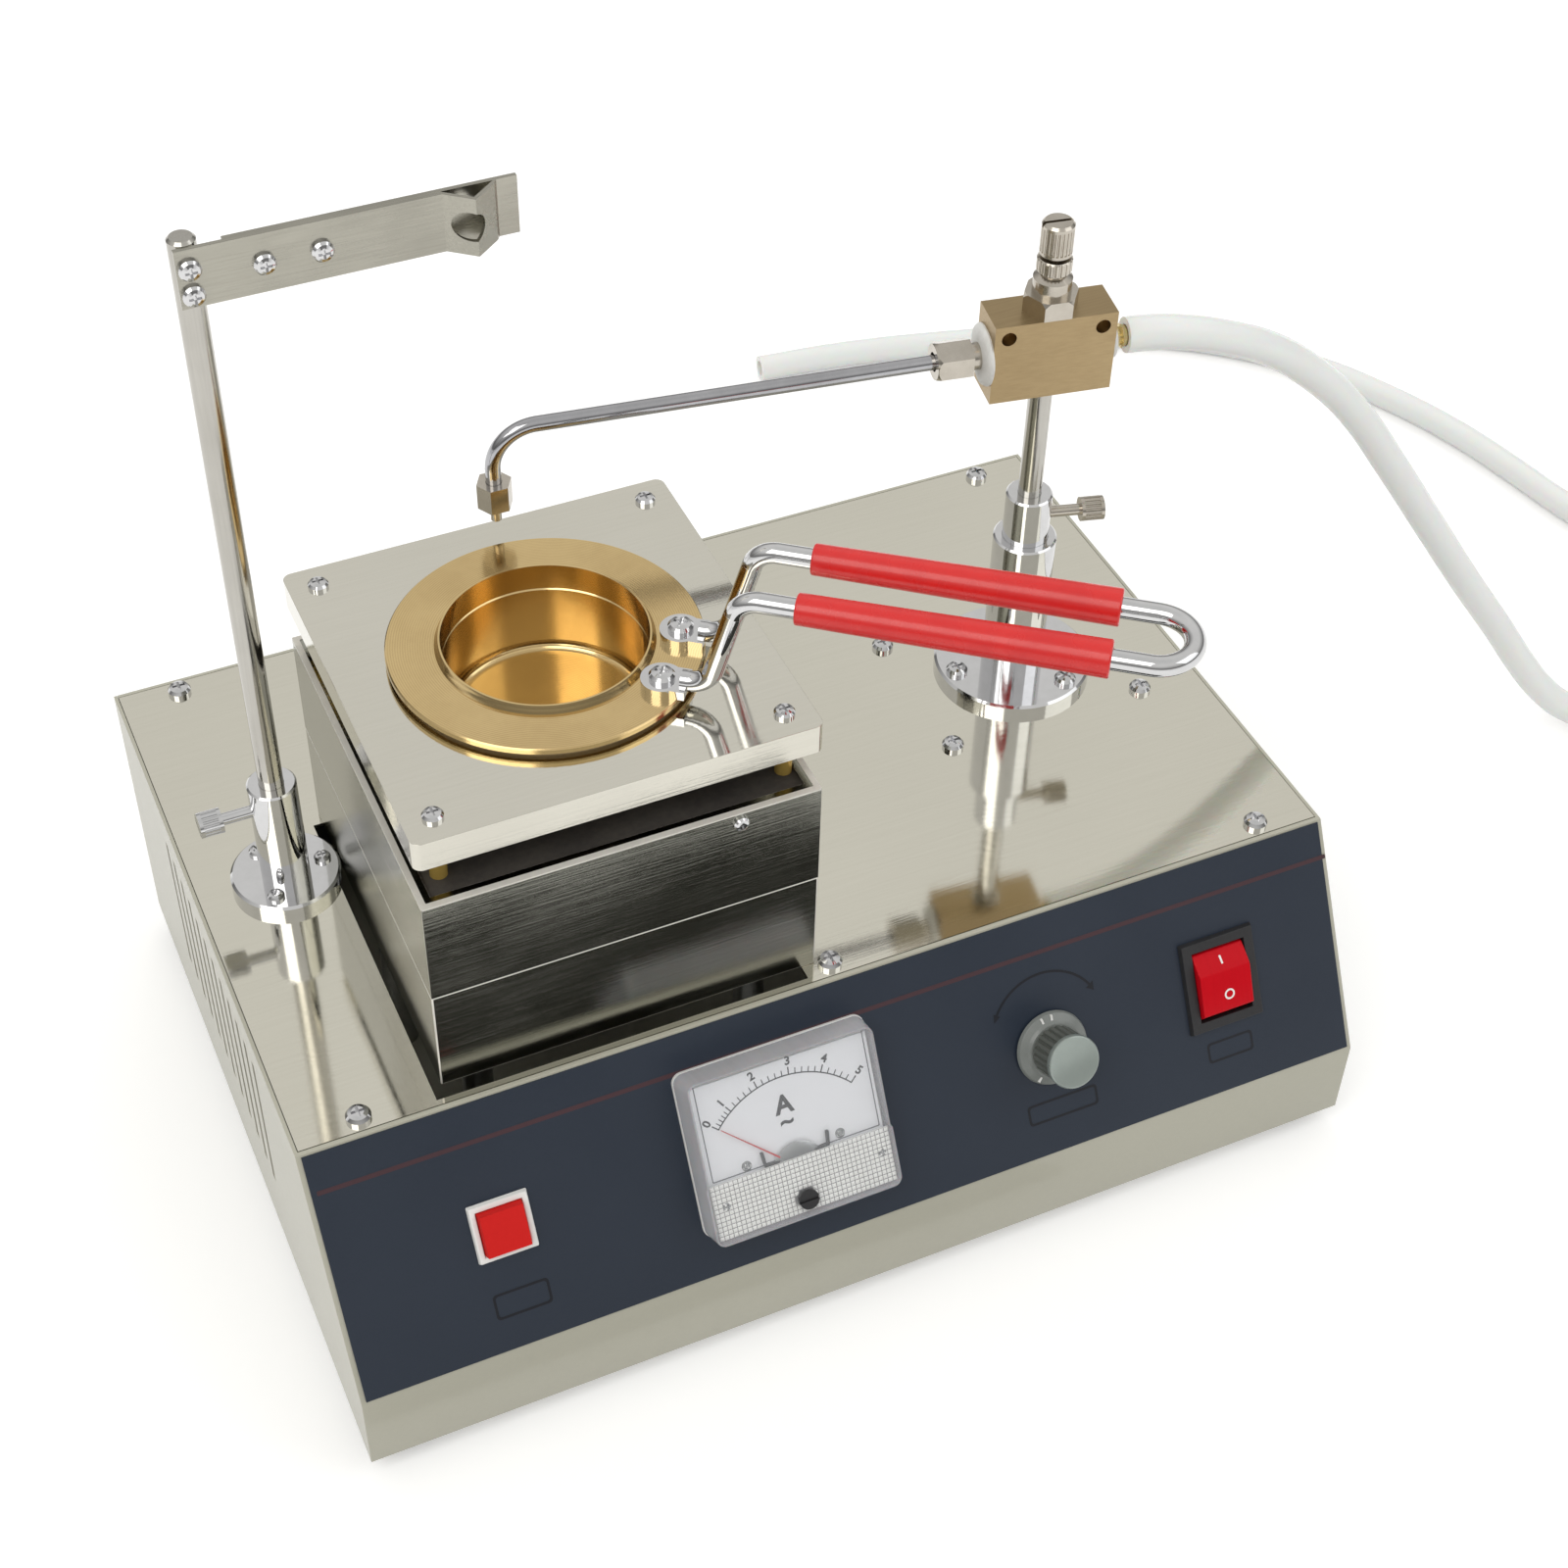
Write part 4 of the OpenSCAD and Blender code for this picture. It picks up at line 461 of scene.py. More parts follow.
def turned(bm: BMesh, profile: Sequence[Flat], steps: int = 64) -> None:
    """Spins a profile of (radius, height) pairs about Z into a closed shape.

    Args:
        bm: the mesh that the shape goes into.
        profile: the outline, from the axis out and back to the axis.
        steps: how many steps make the turn.
    """
    verts = [bm.verts.new((r, 0, z)) for r, z in profile]
    edges = [bm.edges.new(pair) for pair in zip(verts, verts[1:])]
    bmesh.ops.spin(bm, geom=verts + edges, cent=(0, 0, 0), axis=(0, 0, 1),
                   angle=math.tau, steps=steps, use_merge=True)
    bmesh.ops.remove_doubles(bm, verts=bm.verts, dist=WELD)
    bmesh.ops.recalc_face_normals(bm, faces=bm.faces)


def slab(bm: BMesh, outline: Sequence[Flat], low: float, high: float) -> None:
    """Raises a flat outline into a closed slab.

    Args:
        bm: the mesh that the slab goes into.
        outline: its corners, counter-clockwise.
        low: height of its underside.
        high: height of its top.
    """
    verts = [bm.verts.new((x, y, low)) for x, y in outline]
    face = bm.faces.new(verts)
    face.normal_update()
    if face.normal.z > 0:
        face.normal_flip()
    ring = bmesh.ops.extrude_face_region(bm, geom=[face], use_keep_orig=True)
    top = [v for v in ring["geom"] if isinstance(v, BMVert)]
    bmesh.ops.translate(bm, verts=top, vec=(0, 0, high - low))
    bmesh.ops.recalc_face_normals(bm, faces=list({f for v in verts + top for f in v.link_faces}))


def shell(bm: BMesh, loops: Sequence[Sequence[Point]]) -> None:
    """Skins closed loops of the same count one after the other, and the last to the first.

    Args:
        bm: the mesh that the skin goes into.
        loops: the loops, each a list of points.
    """
    count = len(loops[0])
    ring = [bm.verts.new(place) for place in loops[0]]
    edges = [bm.edges.new((ring[i], ring[(i + 1) % count])) for i in range(count)]
    for places in [*loops[1:], loops[0]]:
        made = bmesh.ops.extrude_edge_only(bm, edges=edges)["geom"]
        new = {g for g in made if isinstance(g, BMVert)}
        ring = [next(e.other_vert(v) for e in v.link_edges if e.other_vert(v) in new)
                for v in ring]
        for vert, place in zip(ring, places):
            vert.co = place
        edges = [g for g in made if isinstance(g, BMEdge)
                 and g.verts[0] in new and g.verts[1] in new]
    bmesh.ops.remove_doubles(bm, verts=bm.verts, dist=WELD)
    bmesh.ops.recalc_face_normals(bm, faces=bm.faces)


def frame_ring(bm: BMesh, outer: Sequence[Flat], inner: Sequence[Flat], low: float,
               high: float) -> None:
    """Makes a flat ring between two outlines of the same count, and gives it thickness."""
    loops = []
    for line in (outer, inner):
        verts = [bm.verts.new((x, y, high)) for x, y in line]
        loops += [bm.edges.new((verts[i], verts[(i + 1) % len(verts)]))
                  for i in range(len(verts))]
    made = bmesh.ops.bridge_loops(bm, edges=loops)["faces"]
    bmesh.ops.recalc_face_normals(bm, faces=made)
    if made and made[0].normal.z < 0:
        bmesh.ops.reverse_faces(bm, faces=made)
    bmesh.ops.solidify(bm, geom=made, thickness=high - low)


def circle(radius: float, steps: int, x: float = 0.0, y: float = 0.0) -> List[Flat]:
    """Returns the outline of a circle, counter-clockwise."""
    turns = [math.tau * i / steps for i in range(steps)]
    return [(x + radius * math.cos(a), y + radius * math.sin(a)) for a in turns]


def rounded(w: float, d: float, r: float, n: int = 6, cx: float = 0.0,
            cy: float = 0.0) -> List[Flat]:
    """Returns the outline of a rectangle with round corners, counter-clockwise."""
    out = []
    for sx, sy, a0 in ((1, 1, 0), (-1, 1, 90), (-1, -1, 180), (1, -1, 270)):
        for i in range(n + 1):
            a = math.radians(a0 + 90 * i / n)
            out.append((cx + sx * (w / 2 - r) + r * math.cos(a),
                        cy + sy * (d / 2 - r) + r * math.sin(a)))
    return out


def clock(radius: float, angle: float, centre: Flat = (0.0, 0.0)) -> Flat:
    """Returns the point at an angle in degrees, clockwise from straight up."""
    a = math.radians(angle)
    return centre[0] + radius * math.sin(a), centre[1] + radius * math.cos(a)


def band(radius: float, width: float, start: float, stop: float, steps: int = 40,
         centre: Flat = (0.0, 0.0)) -> List[Flat]:
    """Returns the outline of an arc-shaped line.

    Args:
        radius: radius of its middle.
        width: how wide the line is.
        start: first angle in degrees, clockwise from straight up.
        stop: last angle in degrees.
        steps: how many steps make the arc.
        centre: the arc's centre.

    Returns:
        The outline, out along one side and back along the other.
    """
    angles = [start + (stop - start) * i / steps for i in range(steps + 1)]
    inner = [clock(radius - width / 2, a, centre) for a in angles]
    outer = [clock(radius + width / 2, a, centre) for a in angles]
    return inner + outer[::-1]


def bar(a: Flat, b: Flat, width: float) -> List[Flat]:
    """Returns the outline of a straight line of some width from a to b."""
    run = Vector((b[0] - a[0], b[1] - a[1])).normalized() * (width / 2)
    side = (-run.y, run.x)
    return [(a[0] - side[0], a[1] - side[1]), (b[0] - side[0], b[1] - side[1]),
            (b[0] + side[0], b[1] + side[1]), (a[0] + side[0], a[1] + side[1])]


def add_object(name: str, data: bpy.types.ID) -> Object:
    """Puts a mesh, curve, lamp or camera into the scene and returns its object."""
    obj = bpy.data.objects.new(name, data)
    bpy.context.scene.collection.objects.link(obj)
    return obj


def curve_mesh(curve: bpy.types.Curve) -> bpy.types.Mesh:
    """Makes a curve a mesh, removes the curve and returns the mesh."""
    holder = add_object(curve.name, curve)
    mesh = bpy.data.meshes.new_from_object(holder.evaluated_get(
        bpy.context.evaluated_depsgraph_get()))
    bpy.data.objects.remove(holder)
    bpy.data.curves.remove(curve)
    return mesh


@dataclass
class Bench:
    """Makes finished pieces and keeps the list of what was made."""

    made: List[str] = field(default_factory=list)
    round_angle: float = 40.0
    text_rise: float = 0.04
    text_bold: float = 0.03

    def piece(self, name: str, build: Callable[[BMesh], None], finish: Finish,
              place: Optional[Matrix] = None, body: str = "base", replaces: Sequence[str] = (),
              sharp: float = 32.0) -> Object:
        """Builds one piece in millimetres and puts it in the frame.

        Args:
            name: the piece's name.
            build: fills the mesh, in its own axes.
            finish: the finish it gets.
            place: where its own axes lie in the frame.
            body: the body it rides on.
            replaces: the CAD nodes that it stands for.
            sharp: edges over this angle stay sharp.

        Returns:
            The finished object.
        """
        bm = bmesh.new()
        build(bm)
        if place is not None:
            bmesh.ops.transform(bm, matrix=place, verts=bm.verts)
        bmesh.ops.scale(bm, vec=(MM, MM, MM), verts=bm.verts)
        for f in bm.faces:
            f.smooth = True
        for e in bm.edges:
            if len(e.link_faces) == 2 and e.calc_face_angle(0) > math.radians(sharp):
                e.smooth = False
        mesh = bpy.data.meshes.new(name)
        bm.to_mesh(mesh)
        bm.free()
        mesh.materials.append(finish.material())
        obj = add_object(name, mesh)
        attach(obj, body)
        if replaces:
            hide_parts(*replaces)
        self.made.append(name)
        LOG.info("made %s on %s", name, body)
        return obj

    def rounded_copy(self, node: str, finish: Finish, width: float, segments: int = 3,
                     body: str = "base", worn: Optional[Finish] = None) -> None:
        """Copies a CAD node with its hard edges rounded by a Bevel modifier.

        Args:
            node: the CAD node to copy and replace.
            finish: the finish it gets.
            width: the size of the rounding.
            segments: how many faces make the rounding.
            body: the body it rides on.
            worn: the finish of the rounded edges, where it is another one; the furnace's pale edges
                are partly wear and partly a painted highlight.
        """
        def fill(bm: BMesh) -> None:
            """Takes the node's mesh, joined and with its flat faces whole."""
            bm.from_mesh(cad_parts[node].data)
            bmesh.ops.remove_doubles(bm, verts=bm.verts, dist=NODE_WELD)
            bmesh.ops.dissolve_limit(bm, angle_limit=math.radians(0.6), verts=bm.verts,
                                     edges=bm.edges)
            bmesh.ops.scale(bm, vec=(1 / MM, 1 / MM, 1 / MM), verts=bm.verts)

        obj = self.piece(node + "_soft", fill, finish, body=body, replaces=[node])
        mod = obj.modifiers.new("round_edges", "BEVEL")
        mod.limit_method, mod.angle_limit = "ANGLE", math.radians(self.round_angle)
        mod.width, mod.segments, mod.harden_normals = width * MM, segments, False
        # Only the bevel faces take the second slot; on the furnace this is a pale colour, partly
        # wear and partly a painted highlight.
        if worn:
            obj.data.materials.append(worn.material())
            mod.material = 1

    def text(self, name: str, words: str, size: float, finish: Finish, place: Matrix) -> None:
        """Sets plain figures as a flat raised mesh on the base.

        Args:
            name: the piece's name.
            words: what it reads.
            size: height of the letters.
            finish: the finish it gets.
            place: where its own axes lie in the frame.
        """
        curve = bpy.data.curves.new(name + "_outline", "FONT")
        curve.body, curve.size = words, size
        curve.align_x, curve.align_y = "CENTER", "CENTER"
        curve.extrude, curve.resolution_u = self.text_rise, 3
        curve.offset = self.text_bold * size
        mesh = curve_mesh(curve)

        def fill(bm: BMesh) -> None:
            """Takes the outline's mesh."""
            bm.from_mesh(mesh)
            bmesh.ops.remove_doubles(bm, verts=bm.verts, dist=WELD)

        self.piece(name, fill, finish, place)
        bpy.data.meshes.remove(mesh)


# ---------------------------------------------------------------- studio
@dataclass
class Studio:
    """Floor, lights and the camera at the photograph's angle. Its lengths are in metres.

    Each lamp has its name, place, aim, size, power, colour and whether metal shows it, and
    each step of the sky its height over the horizon and its brightness. sky_tone is the green
    and blue share of that brightness, and zenith the colour overhead.
    """

    eye: Point = (-0.25395, -0.5774, 0.7431)
    forward: Point = (0.30556, 0.64280, -0.70246)
    right: Point = (0.91128, -0.41130, 0.02003)
    lens: float = 59.72
    lamps: Tuple[Tuple, ...] = (
        ("key", (-1.5, -1.0, 2.4), (0, 0, 0.15), 1.8, 25, (1, 0.985, 0.95), True),
        ("fill", (1.9, -1.3, 1.7), (0, 0, 0.1), 1.8, 10, (0.96, 0.98, 1), True),
        ("back", (0.4, 2.2, 2.0), (0, 0, 0.1), 1.6, 12, (1, 1, 1), False))
    sky: Tuple[Flat, ...] = ((0.04, 1.0), (0.09, 0.22), (0.22, 0.34), (0.42, 0.66), (0.58, 0.94),
                             (0.80, 0.98))
    sky_tone: Flat = (0.99, 0.965)
    zenith: Colour = (0.86, 0.86, 0.84)
    sky_strength: float = 0.85
    floor_size: Flat = (12.0, 12.0)
    floor_colour: Colour = (0.82, 0.82, 0.82)
    floor_glow: float = 0.30
    card_size: Flat = (0.26, 0.098)
    card_at: Point = (-0.045, -0.213, 0.0015)
    card_colour: Colour = (0.05, 0.05, 0.045)

    def build(self) -> None:
        """Makes the camera, the floor, the world and the lamps."""
        self._camera()
        self._floor()
        self._card()
        self._world()
        for name, place, aim, size, power, colour, glints in self.lamps:
            lamp = bpy.data.lights.new(name, "AREA")
            lamp.energy, lamp.size, lamp.color = power, size, colour
            obj = add_object(name, lamp)
            obj.location = place
            obj.rotation_euler = (Vector(aim) - Vector(place)).to_track_quat("-Z", "Y").to_euler()
            obj.visible_glossy = glints
        bpy.context.scene.view_settings.view_transform = "Standard"

    def _camera(self) -> None:
        """Sets the solved camera as the scene's."""
        cam = bpy.data.cameras.new("view")
        cam.lens, cam.sensor_width, cam.clip_start = self.lens, 36, 0.01
        x = Vector(self.right).normalized()
        z = -Vector(self.forward).normalized()
        y = z.cross(x).normalized()
        obj = add_object("view", cam)
        obj.matrix_world = (Matrix.Translation(self.eye)
                            @ Matrix((x, y, z)).transposed().to_4x4())
        bpy.context.scene.camera = obj

    @staticmethod
    def _sheet(name: str, skin: str, size: Flat, at: Point, colour: Colour,
               rough: float) -> Tuple[Object, NodeTree]:
        """Lays a plain dull sheet.

        Args:
            name: the sheet's name.
            skin: its material's name.
            size: its width and depth.
            at: its middle.
            colour: its colour.
            rough: its roughness.

        Returns:
            The object and its material's tree.
        """
        bm = bmesh.new()
        bmesh.ops.create_grid(bm, x_segments=1, y_segments=1, size=0.5)
        bmesh.ops.scale(bm, vec=(*size, 1), verts=bm.verts)
        bmesh.ops.translate(bm, vec=at, verts=bm.verts)
        mesh = bpy.data.meshes.new(name)
        bm.to_mesh(mesh)
        bm.free()
        mat = bpy.data.materials.new(skin)
        mat.use_nodes = True
        for socket, value in (("Base Color", (*colour, 1)), ("Roughness", rough),
                              ("Specular IOR Level", 0.0)):
            mat.node_tree.nodes["Principled BSDF"].inputs[socket].default_value = value
        mesh.materials.append(mat)
        return add_object(name, mesh), mat.node_tree

    def _floor(self) -> None:
        """Lays a pale floor that reads as white and keeps the shadow."""
        obj, tree = self._sheet("floor", "pale_floor", self.floor_size, (0, 0, 0),
                                self.floor_colour, 0.9)
        path = add_node(tree, "LightPath").outputs
        seen = add_math(tree, "MAXIMUM", path["Is Camera Ray"], path["Is Glossy Ray"])
        both = add_math(tree, "MAXIMUM", seen.outputs[0], path["Is Transmission Ray"])
        gain = add_math(tree, "MULTIPLY", both.outputs[0])
        gain.inputs[1].default_value = self.floor_glow
        bsdf = tree.nodes["Principled BSDF"]
        bsdf.inputs["Emission Color"].default_value = (1, 1, 1, 1)
        tree.links.new(gain.outputs[0], bsdf.inputs["Emission Strength"])

    def _card(self) -> None:
        """Lays a dark card before the object, which only polished metal can show."""
        obj, _ = self._sheet("dark_card", "card_black", self.card_size, self.card_at,
                             self.card_colour, 1.0)
        obj.visible_camera = obj.visible_diffuse = obj.visible_shadow = False
        obj.visible_transmission = obj.visible_volume_scatter = False

    def _world(self) -> None:
        """Lights from above, with a dark band over a pale horizon for the metal to show."""
        world = bpy.data.worlds.new("room")
        bpy.context.scene.world = world
        world.use_nodes = True
        tree = world.node_tree
        back = tree.nodes["Background"]
        coord, split, ramp = (add_node(tree, kind) for kind in ("TexCoord", "SeparateXYZ",
                                                                "ValToRGB"))
        tree.links.new(coord.outputs["Generated"], split.inputs["Vector"])
        tree.links.new(split.outputs["Z"], ramp.inputs["Fac"])
        stops = ramp.color_ramp
        stops.elements[0].position, stops.elements[0].color = 0.0, (1, 1, 1, 1)
        stops.elements[1].position, stops.elements[1].color = 1.0, (*self.zenith, 1)
        green, blue = self.sky_tone
        for at, v in self.sky:
            stops.elements.new(at).color = (v, v * green, v * blue, 1)
        tree.links.new(ramp.outputs["Color"], back.inputs["Color"])
        back.inputs["Strength"].default_value = self.sky_strength


# ---------------------------------------------------------------- gas hose
@dataclass
class GasHose:
    """The clear hose on the arm's barb: a fixed length that sags and lies on the bench."""

    diameter: float = 12.0
    bore: float = 7.6
    margin: float = 0.04
    swell: Tuple[float, ...] = (1.0, 1.0, 0.99, 0.985)
    route: Tuple[Point, ...] = (
        (147, 17, 253.5), (154, 15.8, 253.3), (167, 14.3, 251), (184, 13.6, 245),
        (204, 14, 234.5), (225, 14.6, 218), (246, 15.5, 196), (271, 16, 162), (296, 17, 126.5),
        (321, 17.5, 91), (345, 16.8, 58), (359, 14.5, 37.5), (370, 11, 23), (381, 5.5, 13),
        (395, -1, 7.3), (414, -5, 6.1), (438, -2, 6.1), (460, 10, 6.1), (476, 30, 6.1),
        (483, 56, 6.1), (481, 84, 6.1), (474, 105, 6.1), (468, 128, 6.1), (463, 154, 6.1),
        (455, 187, 6.1), (442, 221, 6.1), (420, 260, 6.1), (388, 294, 6.1), (344, 320, 6.1),
        (301, 335, 6.1), (258, 347, 6.1), (216, 356, 6.1), (173, 361, 6.1))

    def build(self, bench: Bench) -> None:
        """Args:
            bench: the bench that makes the piece.
        """
        curve = bpy.data.curves.new("hose_line", "CURVE")
        curve.dimensions, curve.resolution_u = "3D", 5
        curve.bevel_depth, curve.bevel_resolution = self.diameter / 2 - self.margin, 5
        spline = curve.splines.new("BEZIER")
        spline.bezier_points.add(len(self.route) - 1)
        for knot, place in zip(spline.bezier_points, self.route):
            knot.co = place
            knot.handle_left_type = knot.handle_right_type = "AUTO"
        for knot, swell in zip(spline.bezier_points, self.swell):
            knot.radius = swell
        mesh = curve_mesh(curve)

        def fill(bm: BMesh) -> None:
            """Takes the swept skin and gives it a wall."""
            bm.from_mesh(mesh)
            bmesh.ops.remove_doubles(bm, verts=bm.verts, dist=WELD)
            bmesh.ops.recalc_face_normals(bm, faces=bm.faces)
            bmesh.ops.solidify(bm, geom=bm.faces, thickness=(self.diameter - self.bore) / 2)
            bmesh.ops.recalc_face_normals(bm, faces=bm.faces)

        obj = bench.piece("gas_hose_tube", fill, HOSE, body="gas_arm", replaces=["gas_hose"],
                          sharp=60)
        bpy.data.meshes.remove(mesh)
        points = [tuple(v * MM for v in p) for p in self.route]
        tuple(points[0])
        self._length() * MM

    def _length(self) -> float:
        """Returns the route's length through its points."""
        return sum((Vector(b) - Vector(a)).length for a, b in zip(self.route, self.route[1:]))


# ---------------------------------------------------------------- case, furnace and arm
@dataclass
class Casework:
    """The folded sheet of the case and of the furnace."""

    fold: float = 0.5
    box_at: Point = (-68.55, -17.77, 194.3)
    box_size: Flat = (126.0, 127.4)
    hem_w: float = 1.9
    hem_lip: float = 0.1
    hem_z: Flat = (-0.5, 0.15)

    def build(self, bench: Bench) -> None:
        """Rounds the folds of the case, the furnace boxes and the plate, and adds the hem.

        Args:
            bench: the bench that makes the pieces.
        """
        bench.rounded_copy("case_shell", PAINT, self.fold)
        # The furnace boxes' bevels take the pale edge colour: partly wear, partly a painted
        # highlight.
        for box in ("furnace_lower_box", "furnace_upper_box"):
            bench.rounded_copy(box, BOX_STEEL, self.fold, worn=EDGE_WEAR_AND_HIGHLIGHT)
        bench.rounded_copy("top_plate", PLATE_STEEL, self.fold)
        # The hem is a pale strip round the furnace's top edge: a painted highlight on the fold,
        # partly wear.
        bench.piece("furnace_hem", self._hem, EDGE_WEAR_AND_HIGHLIGHT)

    def _hem(self, bm: BMesh) -> None:
        """Builds the folded upper edge of the furnace, in the pale edge colour that is partly wear
        and partly a painted highlight.
        """
        (x, y, z), (w, d) = self.box_at, self.box_size
        frame_ring(bm, rounded(w + self.hem_lip, d + self.hem_lip, 0.4, 3, x, y),
                   rounded(w - 2 * self.hem_w, d - 2 * self.hem_w, 0.3, 3, x, y),
                   z + self.hem_z[0], z + self.hem_z[1])


@dataclass
class GasFittings:
    """The valve block's milled edges, the rings of sealing paste and the handle's grips.

    The rings are outlines of (radius, height) pairs, uneven past the radius uneven_from by
    waves, each with its height, its count and its start.
    """

    block_edge: float = 0.35
    grip_edge: float = 0.55
    middle: Point = (120.1, 21.43, 253.5)
    half: float = 20.7
    turn: float = 170.6
    left_ring: Tuple[Flat, ...] = (
        (7.02, 0.0), (10.2, 0.0), (10.4, 0.6), (9.9, 1.4), (8.2, 1.9), (6.0, 2.2), (4.52, 2.3),
        (4.52, 1.42), (7.02, 1.42))
    right_ring: Tuple[Flat, ...] = (
        (5.52, 0.0), (7.0, 0.0), (7.1, 0.8), (6.6, 1.8), (5.4, 2.4), (4.06, 2.5), (4.06, 1.52),
        (5.52, 1.52))
    steps: int = 48
    uneven_from: float = 7.2
    waves: Tuple[Point, ...] = ((0.22, 3, 0.6), (0.12, 7, 0.0))

    def build(self, bench: Bench) -> None:
        """Builds the rings and rounds the block and the grips.

        Args:
            bench: the bench that makes the pieces.
        """
        bench.rounded_copy("valve_block", BLOCK_BRASS, self.block_edge, 2, "gas_arm")
        bench.rounded_copy("grip_sleeves", VINYL, self.grip_edge, 3, "cup")
        way = Vector((math.cos(math.radians(self.turn)), math.sin(math.radians(self.turn)), 0))
        for out, profile, name in ((way, self.left_ring, "paste_ring_tube"),
                                   (-way, self.right_ring, "paste_ring_hose")):
            place = (Matrix.Translation(Vector(self.middle) + out * self.half)
                     @ out.to_track_quat("Z", "Y").to_matrix().to_4x4())
            bench.piece(name, lambda bm, line=profile: self._ring(bm, line), SEALANT, place,
                        "gas_arm", sharp=50)

    def _ring(self, bm: BMesh, profile: Sequence[Flat]) -> None:
        """Turns a closed profile into a ring with a slightly uneven outer edge."""
        def place(i: int, r: float, z: float) -> Point:
            """Returns a point of the ring."""
            a = math.tau * i / self.steps
            wave = sum(height * math.sin(n * a + start) for height, n, start in self.waves)
            wide = r + wave * (r > self.uneven_from)
            return wide * math.cos(a), wide * math.sin(a), z
        shell(bm, [[place(i, r, z) for i in range(self.steps)] for r, z in profile])


# ---------------------------------------------------------------- front panel
@dataclass
class PanelPrint:
    """What is printed on the film of the sloping panel: a stripe, bare frames and an arrow.

    A frame has its left, top, right and bottom, down the slope, and an arrow head its side
    and size.
    """

    stripe_s: float = 13.5
    stripe_w: float = 1.5
    width: float = 357.0
    frames: Tuple[Tuple[float, float, float, float], ...] = (
        (45.6, 65.2, 64.2, 74.1), (234.3, 65.7, 260.6, 73.2), (303.8, 66.0, 321.6, 73.6))
    corners: Flat = (1.4, 1.0)
    line: float = 0.9
    arrow_at: Flat = (246.6, 41.6)
    arrow_r: float = 20.7
    arrow_turn: float = 60.0
    heads: Tuple[Flat, ...] = ((1, 3.4), (-1, 2.8))
    low: float = OVERLAY - PRINT_RISE
    high: float = OVERLAY + PRINT_RISE

    def build(self, bench: Bench) -> None:
        """Prints the panel.

        Args:
            bench: the bench that makes the pieces.
        """
        bench.piece("panel_stripe", self._stripe, PRINT_WINE,
                    panel_matrix(self.width / 2 + 2, self.stripe_s))
        bench.piece("panel_frames", self._frames, PRINT_DARK, panel_matrix(0, 0))
        bench.piece("panel_arrow", self._arrow, PRINT_DARK, panel_matrix(*self.arrow_at))

    def _stripe(self, bm: BMesh) -> None:
        """Draws the stripe across the panel."""
        slab(bm, rounded(self.width, self.stripe_w, 0.2, 1), self.low, self.high)

    def _frames(self, bm: BMesh) -> None:
        """Draws the bare frames under the controls."""
        for x0, s0, x1, s1 in self.frames:
            w, d, cx, cy = x1 - x0, s1 - s0, (x0 + x1) / 2, -(s0 + s1) / 2
            frame_ring(bm, rounded(w, d, self.corners[0], 5, cx, cy),
                       rounded(w - 2 * self.line, d - 2 * self.line, self.corners[1], 5, cx, cy),
                       self.low, self.high)

    def _arrow(self, bm: BMesh) -> None:
        """Draws the turning arrow over the knob."""
        slab(bm, band(self.arrow_r, self.line, -self.arrow_turn, self.arrow_turn), self.low,
             self.high)
        for side, size in self.heads:
            foot, tip = side * (self.arrow_turn - 3), side * (self.arrow_turn + 5)
            slab(bm, [clock(self.arrow_r - size / 2, foot), clock(self.arrow_r + size / 2, foot),
                      clock(self.arrow_r, tip)], self.low, self.high + 0.01)


